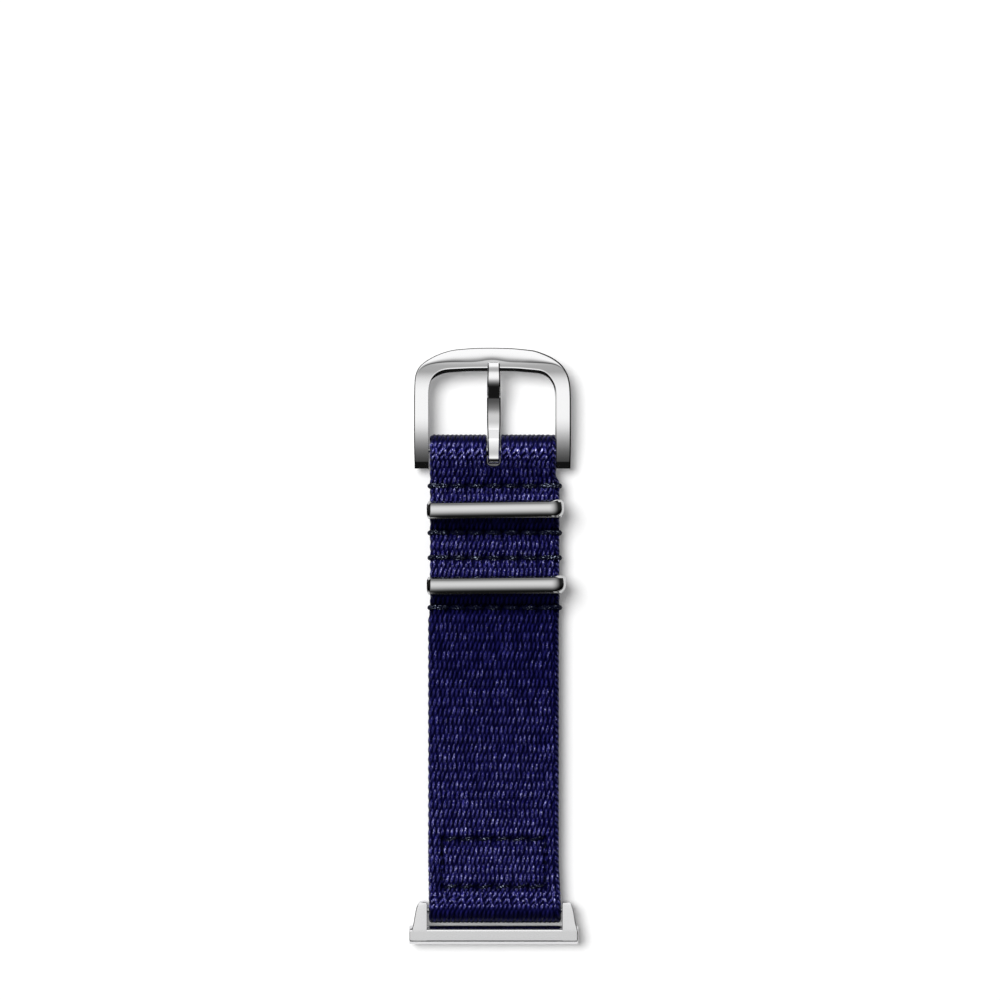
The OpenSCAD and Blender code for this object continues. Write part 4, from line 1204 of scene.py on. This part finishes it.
def tongue():
    """A strip that rests on the crest, dips behind it and curls round the bar; its long edges are bevelled."""
    line = tongue_line()
    lengths = distances(line[:, :2])
    at = np.concatenate([np.linspace(0, 0.9 * MM, 19), np.linspace(0.95 * MM, lengths[-1], 300)])
    path = resampled(line, lengths, at)
    path[1:-1, :2] = softened(path[:, :2])
    tangent = unit(np.gradient(path[:, :2], axis=0))
    rings = []
    for (y, z, thickness), (ty, tz), a in zip(path, tangent, at):
        corner = max(0.0, TIP_ROUND - a)
        w = read(TONGUE_WIDTHS, a, MM, MM) - (TIP_ROUND - math.sqrt(TIP_ROUND ** 2 - corner ** 2))
        low = -thickness / 2
        top = thickness / 2 - 0.9 * max(0.0, 0.16 * MM - a)
        side = top - 0.72 * TONGUE_BEVEL
        over = [(w, low + 0.2 * MM), (w, side - 0.10 * MM), (w, side), (w - TONGUE_BEVEL, top)]
        over += [(w - TONGUE_BEVEL - CREASE, top), (w * 0.4, top)]
        ring = over + [(-x, v) for x, v in reversed(over)] + [(-w + 0.2 * MM, low), (w - 0.2 * MM, low)]
        rings.append([(x + TONGUE_SHIFT, y + tz * v, z - ty * v) for x, v in ring])
    obj = loft("buckle_tongue_polished", rings, STEEL, 24)
    part_of(obj, "tongue", "buckle_tongue")


# Keepers

KEEPER_HALF = 1.68 * MM
KEEPER_LOW_HALF = 1.22 * MM
KEEPER_LOW_T = 0.55 * MM
KEEPER_WIRE = 0.8 * MM
# Corners of the loop's outside and inside, as loop_points takes them
KEEPER_OUTER = [(0.5 * MM, 0.5 * MM, 2), (0.5 * MM, 0.5 * MM, 2), (3.0 * MM, 1.75 * MM, 2), (0.74 * MM, 0.62 * MM, 1)]
KEEPER_INNER = [(0.2 * MM, 0.2 * MM, 2), (0.2 * MM, 0.2 * MM, 2), (0.9 * MM, 0.8 * MM, 2), (0.2 * MM, 0.2 * MM, 2)]
# How the loop's ends round off towards the wire's edges: from how far in, by how much and with what power;
# at the right, first the edge towards the watch and then the one towards the buckle
RIGHT_PULL = [(3.5 * MM, 0.75 * MM, 2.8), (3.5 * MM, 0.42 * MM, 2.8)]
LEFT_PULL = (0.9 * MM, -0.28 * MM, 3.4)
# The outer face's slope in degrees, by the place across the wire from -1 to 1
KEEPER_TILTS = [(-0.71, 26), (-0.66, 24), (-0.57, 17), (-0.48, 12), (-0.39, 8.5), (-0.30, 6), (-0.20, 4), (-0.10, 2.6),
                (0.0, 1.4), (0.11, 0.4), (0.22, 0), (0.34, 0.8), (0.45, 2.4), (0.55, 4.7), (0.66, 8.5), (0.72, 10)]
# The inner face, as places across the wire and heights
KEEPER_BACK = [(-0.905, 0.06 * MM), (-0.87, 0.0), (-0.5, 0.0), (0.0, 0.0), (0.5, 0.0), (0.94, 0.0), (0.99, 0.06 * MM)]


def loop_points(left, right, bottom, top, corners):
    """Points round a loop with four corners (across, up, power), evenly many on each side.

    A corner of power 2 is a quarter ellipse and one of power 1 is a straight chamfer.
    """
    centres = [(left, bottom, 1, 1, 180), (right, bottom, -1, 1, 270), (right, top, -1, -1, 0), (left, top, 1, -1, 90)]
    turns = []
    for (x, z, sx, sz, start), (a, b, power) in zip(centres, corners):
        turn = []
        for t in np.radians(np.linspace(start, start + 90, 14)):
            c, s = (math.copysign(abs(v) ** (2 / power), v) for v in (math.cos(t), math.sin(t)))
            turn.append((x + sx * a + a * c, z + sz * b + b * s))
        turns.append(turn)
    points = []
    for turn, following in zip(turns, turns[1:] + turns[:1]):
        points += turn + list(np.linspace(turn[-1], following[0], 14)[1:-1])
    return np.array(points)


def keeper_face():
    """The outer face across the wire, as places from 1 to -1 and depths."""
    across = np.linspace(0.72, -0.71, 40)
    falls = np.tan(np.radians(read(KEEPER_TILTS, across[:-1]))) * -np.diff(across)
    sink = np.concatenate([[0], np.cumsum(falls)]) * KEEPER_HALF
    last = sink[-1]
    return [
        (0.97, 0.66 * MM), (0.83, 0.149 * MM), (0.73, 0.0), *zip(across, sink),
        (-0.72, last + 0.015 * MM), (-0.84, last + 0.19 * MM), (-0.90, last + 0.66 * MM),
    ]


def keeper(node, body, turn_deg, ahead, extra):
    """A flat wire bent into a loop; its outer face falls away towards the watch, so it is darker there.

    It is turned a little, sits ahead of its solid towards the buckle, and reaches extra to the right.
    """
    low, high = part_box(node)
    centre = middle(node)
    outer = loop_points(low.x + 0.20 * MM, high.x + extra, low.z + 0.06 * MM, high.z, KEEPER_OUTER)
    inner = loop_points(
        low.x + 0.5 * MM, high.x - 0.5 * MM, low.z + KEEPER_LOW_T, high.z - KEEPER_WIRE, KEEPER_INNER
    )
    face = keeper_face()
    turn_cos, turn_sin = math.cos(math.radians(turn_deg)), math.sin(math.radians(turn_deg))
    rings = []
    for (xi, zi), (xo, zo) in zip(inner, outer):
        gap = math.hypot(xo - xi, zo - zi)
        cut = 1 - 0.6 * smoothstep(low.x + 1.05 * MM - xo, 0.0, 0.3 * MM) * (zo > centre.z)
        section = [(a, 1 - d * (cut if abs(a) < 0.86 else 1) / KEEPER_WIRE) for a, d in face]
        section += [(a, d / gap) for a, d in KEEPER_BACK]
        half_y = KEEPER_LOW_HALF + (KEEPER_HALF - KEEPER_LOW_HALF) * smoothstep(zo, low.z, low.z + 2.0 * MM)
        ring = []
        for a, share in section:
            x = xi + (xo - xi) * share
            reach, pull, power = RIGHT_PULL[a > 0] if x > centre.x else LEFT_PULL
            end = smoothstep(abs(x - centre.x), high.x - centre.x - reach, high.x - centre.x - 0.2 * MM)
            x -= pull * end * abs(a) ** power * min(1.0, max(0.0, share * 1.5))
            y = half_y * a
            ring.append((
                x * turn_cos - y * turn_sin, centre.y + ahead + x * turn_sin + y * turn_cos, zi + (zo - zi) * share,
            ))
        rings.append(ring)
    obj = loft(f"{node}_polished", rings, KEEPER_STEEL, 14, closed=True)
    part_of(obj, body, node)


# Lug adapter

RAIL_R = 1.7 * MM
RAIL_FLAT_Z = 1.45 * MM
RAIL_EDGE = 0.25 * MM
EAR_IN = 12.15 * MM
EAR_HALF_H = 1.445 * MM
EAR_END_R = 0.5 * MM
EAR_EDGE = 0.15 * MM
EAR_SHIFTS = {1: 0.33 * MM, -1: 0.02 * MM}
# An ear's outer side: places along Y and its distance from the middle, in mm
EAR_CURVE = [(-1, 14.95), (0.3, 14.95), (0.9, 14.93), (1.3, 14.88), (1.7, 14.78), (2.1, 14.67), (2.5, 14.58),
             (3.1, 14.48), (4.35, 14.27), (5.0, 14.12), (5.4, 13.98), (5.7, 13.82), (5.9, 13.62), (6.03, 13.4),
             (6.1, 13.05)]


def rail_rings(end_x):
    """Sections of the slide rail: a round bar with flats above and below, and softened ends."""
    section = []
    for a in np.radians(np.arange(0, 360, 5)):
        section.append((RAIL_R * math.cos(a), max(-RAIL_FLAT_Z, min(RAIL_FLAT_Z, RAIL_R * math.sin(a)))))
    turns = np.radians([0, 22, 45, 68, 90])
    ends = [(end_x - RAIL_EDGE * (1 - math.sin(a)), 1 - 0.15 * (1 - math.cos(a))) for a in turns]
    stations = [(-x, k) for x, k in reversed(ends)] + [(x, 1.0) for x in np.linspace(-15, 15, 40) * MM] + ends
    return [[(x, y * k, z * k) for y, z in section] for x, k in stations]


def ear_rings(side, end_y):
    """Sections of one ear along Y: a plate whose outer side follows EAR_CURVE and whose end is rounded."""
    rings = []
    for y in np.concatenate([np.linspace(-0.9, 4.4, 44), np.linspace(4.5, 5.97, 30), [5.98, 6.04, 6.1]]) * MM:
        x_out = read(EAR_CURVE, y, MM, MM)
        near = min(1.0, max(0.0, y - end_y + EAR_END_R) / EAR_END_R)
        x_in = EAR_IN + 0.35 * MM * (1 - math.sqrt(1 - near ** 2))
        z_half = EAR_HALF_H - 0.012 * max(0.0, y - 1 * MM) - 0.10 * max(0.0, y - end_y + 0.12 * MM) / 0.12
        r = min(EAR_EDGE, (x_out - x_in) * 0.3)
        corners = [(x_out, z_half - 0.9 * r), (x_out - r, z_half), (x_in + 0.5 * r, z_half), (x_in, z_half - 0.5 * r)]
        corners += [(x, -z) for x, z in reversed(corners)]
        ring = []
        for (xa, za), (xb, zb) in zip(corners, corners[1:] + corners[:1]):
            for t in (0.03, 0.97):
                ring.append((side * (xa + (xb - xa) * t) + EAR_SHIFTS[side], y, za + (zb - za) * t))
        rings.append(ring[::side])
    return rings


def adapter():
    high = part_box("lug_adapter")[1]
    parts = [rail_rings(high.x), ear_rings(1, high.y), ear_rings(-1, high.y)]
    objects = [loft(f"adapter_part_{k}", part, ALUMINIUM, 24) for k, part in enumerate(parts)]
    bpy.ops.object.select_all(action="DESELECT")
    for obj in objects:
        obj.select_set(True)
    bpy.context.view_layer.objects.active = objects[0]
    bpy.ops.object.join()
    obj = bpy.context.object
    obj.name = "lug_adapter_satin"
    part_of(obj, "adapter", "lug_adapter")


def coil(name, node, start, end, coil_r, wire_r, turns):
    """A spring from start to end."""
    start, end = np.array(start), np.array(end)
    length = np.linalg.norm(end - start)
    along = (end - start) / length
    first = np.array([0.0, 1.0, 0.0])
    second = np.cross(along, first)
    rings = []
    for t in np.linspace(0, 1, int(turns * 14) + 1):
        angle = 2 * math.pi * turns * t
        out = first * math.cos(angle) + second * math.sin(angle)
        around = second * math.cos(angle) - first * math.sin(angle)
        centre = start + along * (wire_r + (length - 2 * wire_r) * t) + out * coil_r
        tangent = around * coil_r * 2 * math.pi * turns + along * length
        up = np.cross(tangent / np.linalg.norm(tangent), out)
        rings.append([centre + wire_r * (out * math.cos(a) + up * math.sin(a)) for a in np.arange(8) * math.pi / 4])
    obj = loft(name, rings, SPRING_STEEL, 60)
    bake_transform(obj)
    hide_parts(node)


BAR_SPRING_ENDS = (0.05 * MM, 4.48 * MM)
LATCH_SPRING_ENDS = (0.93 * MM, -0.63 * MM)


def springs():
    """Each spring bar holds two half springs, one for each tip; the latch has a short one."""
    bars = (
        ("lug_bar_spring", LUG_BAR_Y, 0.36 * MM, 0.08 * MM, "adapter", "lug_tip"),
        ("buckle_bar_spring", BUCKLE_BAR_Y, 0.56 * MM, 0.10 * MM, "buckle", "buckle_tip"),
    )
    for node, y, coil_r, wire_r, fixed, moving in bars:
        for side, word in ((-1, "left"), (1, "right")):
            start, end = ((side * x, y, 0.0) for x in BAR_SPRING_ENDS)
            coil(f"{node}_{word}", node, start, end, coil_r, wire_r, 7)
    start, end = ((0.0, 0.0, z) for z in LATCH_SPRING_ENDS)
    coil("latch_spring_coil", "latch_spring", start, end, 0.62 * MM, 0.10 * MM, 2.5)


def small_metal():
    """The spring bars and the latch keep their solids and get a drawn-steel finish, in a darker colour that paints the
    shade of the gaps they sit in.
    """
    pieces = [f"{bar}_bar_{piece}" for bar in ("lug", "buckle") for piece in ("tube", "tip_left", "tip_right")]
    for node in ["latch_button"] + pieces:
        materials = frame["nodes"][node].data.materials
        materials.clear()
        materials.append(SPRING_STEEL)


# Studio

# The photograph's scale and the place at its middle, the camera's height and the picture's width
PIXELS_PER_MM = 5.49
PHOTO_CENTRE_X = 1.15 * MM
PHOTO_CENTRE_Y = 79.36 * MM
CAMERA_H = 0.65
VIEW_W = 1000 / PIXELS_PER_MM * MM
SENSOR_W = 36.0
# The dome's level, the lamp's strength, and the brightest level in what metal mirrors
DOME = 0.25
KEY = 2.85
GLOSS_PEAK = 1.4
# What metal mirrors: levels by the angle in degrees from straight up, towards the buckle and to the right,
# and a strip low behind it that counts for any angle to the side
AHEAD = [(-90, 0.01), (-42, 0.006), (-36, 0.015), (-26, 0.07), (-20, 0.15), (-13.6, 0.33), (-8, 0.58), (-4.3, 0.80),
         (0, 0.97), (4, 1.03), (28, 1.05), (38, 1.3), (50, 1.3), (56, 0.62), (70, 0.45), (76, 0.05), (90, 0.02)]
ASIDE = [(-90, 0.02), (-72, 0.04), (-58, 0.7), (-42, 1.0), (5, 1.0), (14, 0.84), (24, 0.60), (36, 0.26), (46, 0.07),
         (54, 0.02), (90, 0.02)]
STRIP = [(-90, 0.01), (-79.5, 0.01), (-77, 0.42), (-69, 0.42), (-66, 0.0), (90, 0.0)]
# Below the horizon the world is as bright as the floor: for metal that mirrors it, and for cloth that it lights.
FLOOR_MIRRORED = 0.864
FLOOR_CAST = 1.076


def camera():
    data = bpy.data.cameras.new("camera")
    data.sensor_width = SENSOR_W
    data.lens = SENSOR_W * CAMERA_H / VIEW_W
    data.clip_start = 0.01
    data.clip_end = 10
    obj = bpy.data.objects.new("camera", data)
    obj.location = (PHOTO_CENTRE_X, PHOTO_CENTRE_Y, CAMERA_H + WEB_T)
    bpy.context.collection.objects.link(obj)
    bpy.context.scene.camera = obj


def floor():
    bpy.ops.mesh.primitive_plane_add(size=6, location=(0, 0, FLOOR_Z))
    obj = bpy.context.object
    obj.name = "floor"
    obj.data.materials.append(FLOOR)


def sun(direction, strength, spread_deg):
    data = bpy.data.lights.new("key", "SUN")
    data.energy = strength
    data.angle = math.radians(spread_deg)
    obj = bpy.data.objects.new("key", data)
    obj.rotation_mode = "QUATERNION"
    obj.rotation_quaternion = Vector(direction).to_track_quat("Z", "Y")
    obj.visible_glossy = False
    bpy.context.collection.objects.link(obj)


def world():
    """A soft dome; what the metal mirrors is a white card overhead and ahead, and a dark room behind."""
    world_data = bpy.data.worlds.new("studio")
    world_data.use_nodes = True
    bpy.context.scene.world = world_data
    tree = world_data.node_tree
    split = tree.nodes.new("ShaderNodeSeparateXYZ")
    tree.links.new(tree.nodes.new("ShaderNodeTexCoord").outputs["Generated"], split.inputs[0])

    def by_angle(angle, levels, peak):
        turned = plus(tree, maths(tree, "DIVIDE", angle, math.pi), 0.5)
        return ramp(tree, turned, [((a + 90) / 180, (v / peak,) * 3) for a, v in levels])

    pitch = maths(tree, "ARCTAN2", split.outputs["Y"], split.outputs["Z"])
    roll = maths(tree, "ARCSINE", split.outputs["X"])
    card = by_angle(pitch, AHEAD, GLOSS_PEAK)
    mirrored = mix_colour(tree, 1.0, card, by_angle(roll, ASIDE, 1.0), "MULTIPLY")
    mirrored = mix_colour(tree, 1.0, mirrored, by_angle(pitch, STRIP, GLOSS_PEAK), "LIGHTEN")
    below = maths(tree, "LESS_THAN", split.outputs["Z"], 0.0)
    mirrored = mix_colour(tree, below, mirrored, (FLOOR_MIRRORED / GLOSS_PEAK,) * 3)
    cast = mix_colour(tree, below, (DOME / GLOSS_PEAK,) * 3, (FLOOR_CAST / GLOSS_PEAK,) * 3)
    rays = tree.nodes.new("ShaderNodeLightPath").outputs
    colour = mix_colour(tree, rays["Is Glossy Ray"], cast, mirrored)
    colour = mix_colour(tree, rays["Is Camera Ray"], colour, (1 / GLOSS_PEAK,) * 3)
    background = tree.nodes["Background"]
    tree.links.new(colour, background.inputs["Color"])
    background.inputs["Strength"].default_value = GLOSS_PEAK


lug_band()
span_bands()
buckle_bands()
stitch_rows()
box_thread()
buckle_frame()
tongue()
keeper("keeper_1", "keeper_near_buckle", 0.8, 0.0, 0.0)
keeper("keeper_2", "keeper_near_watch", 0.55, 0.17 * MM, 0.35 * MM)
adapter()
springs()
small_metal()

camera()
floor()
sun((-0.42, 0.32, 1.0), KEY, 36)
world()
bpy.context.scene.view_settings.view_transform = "Standard"
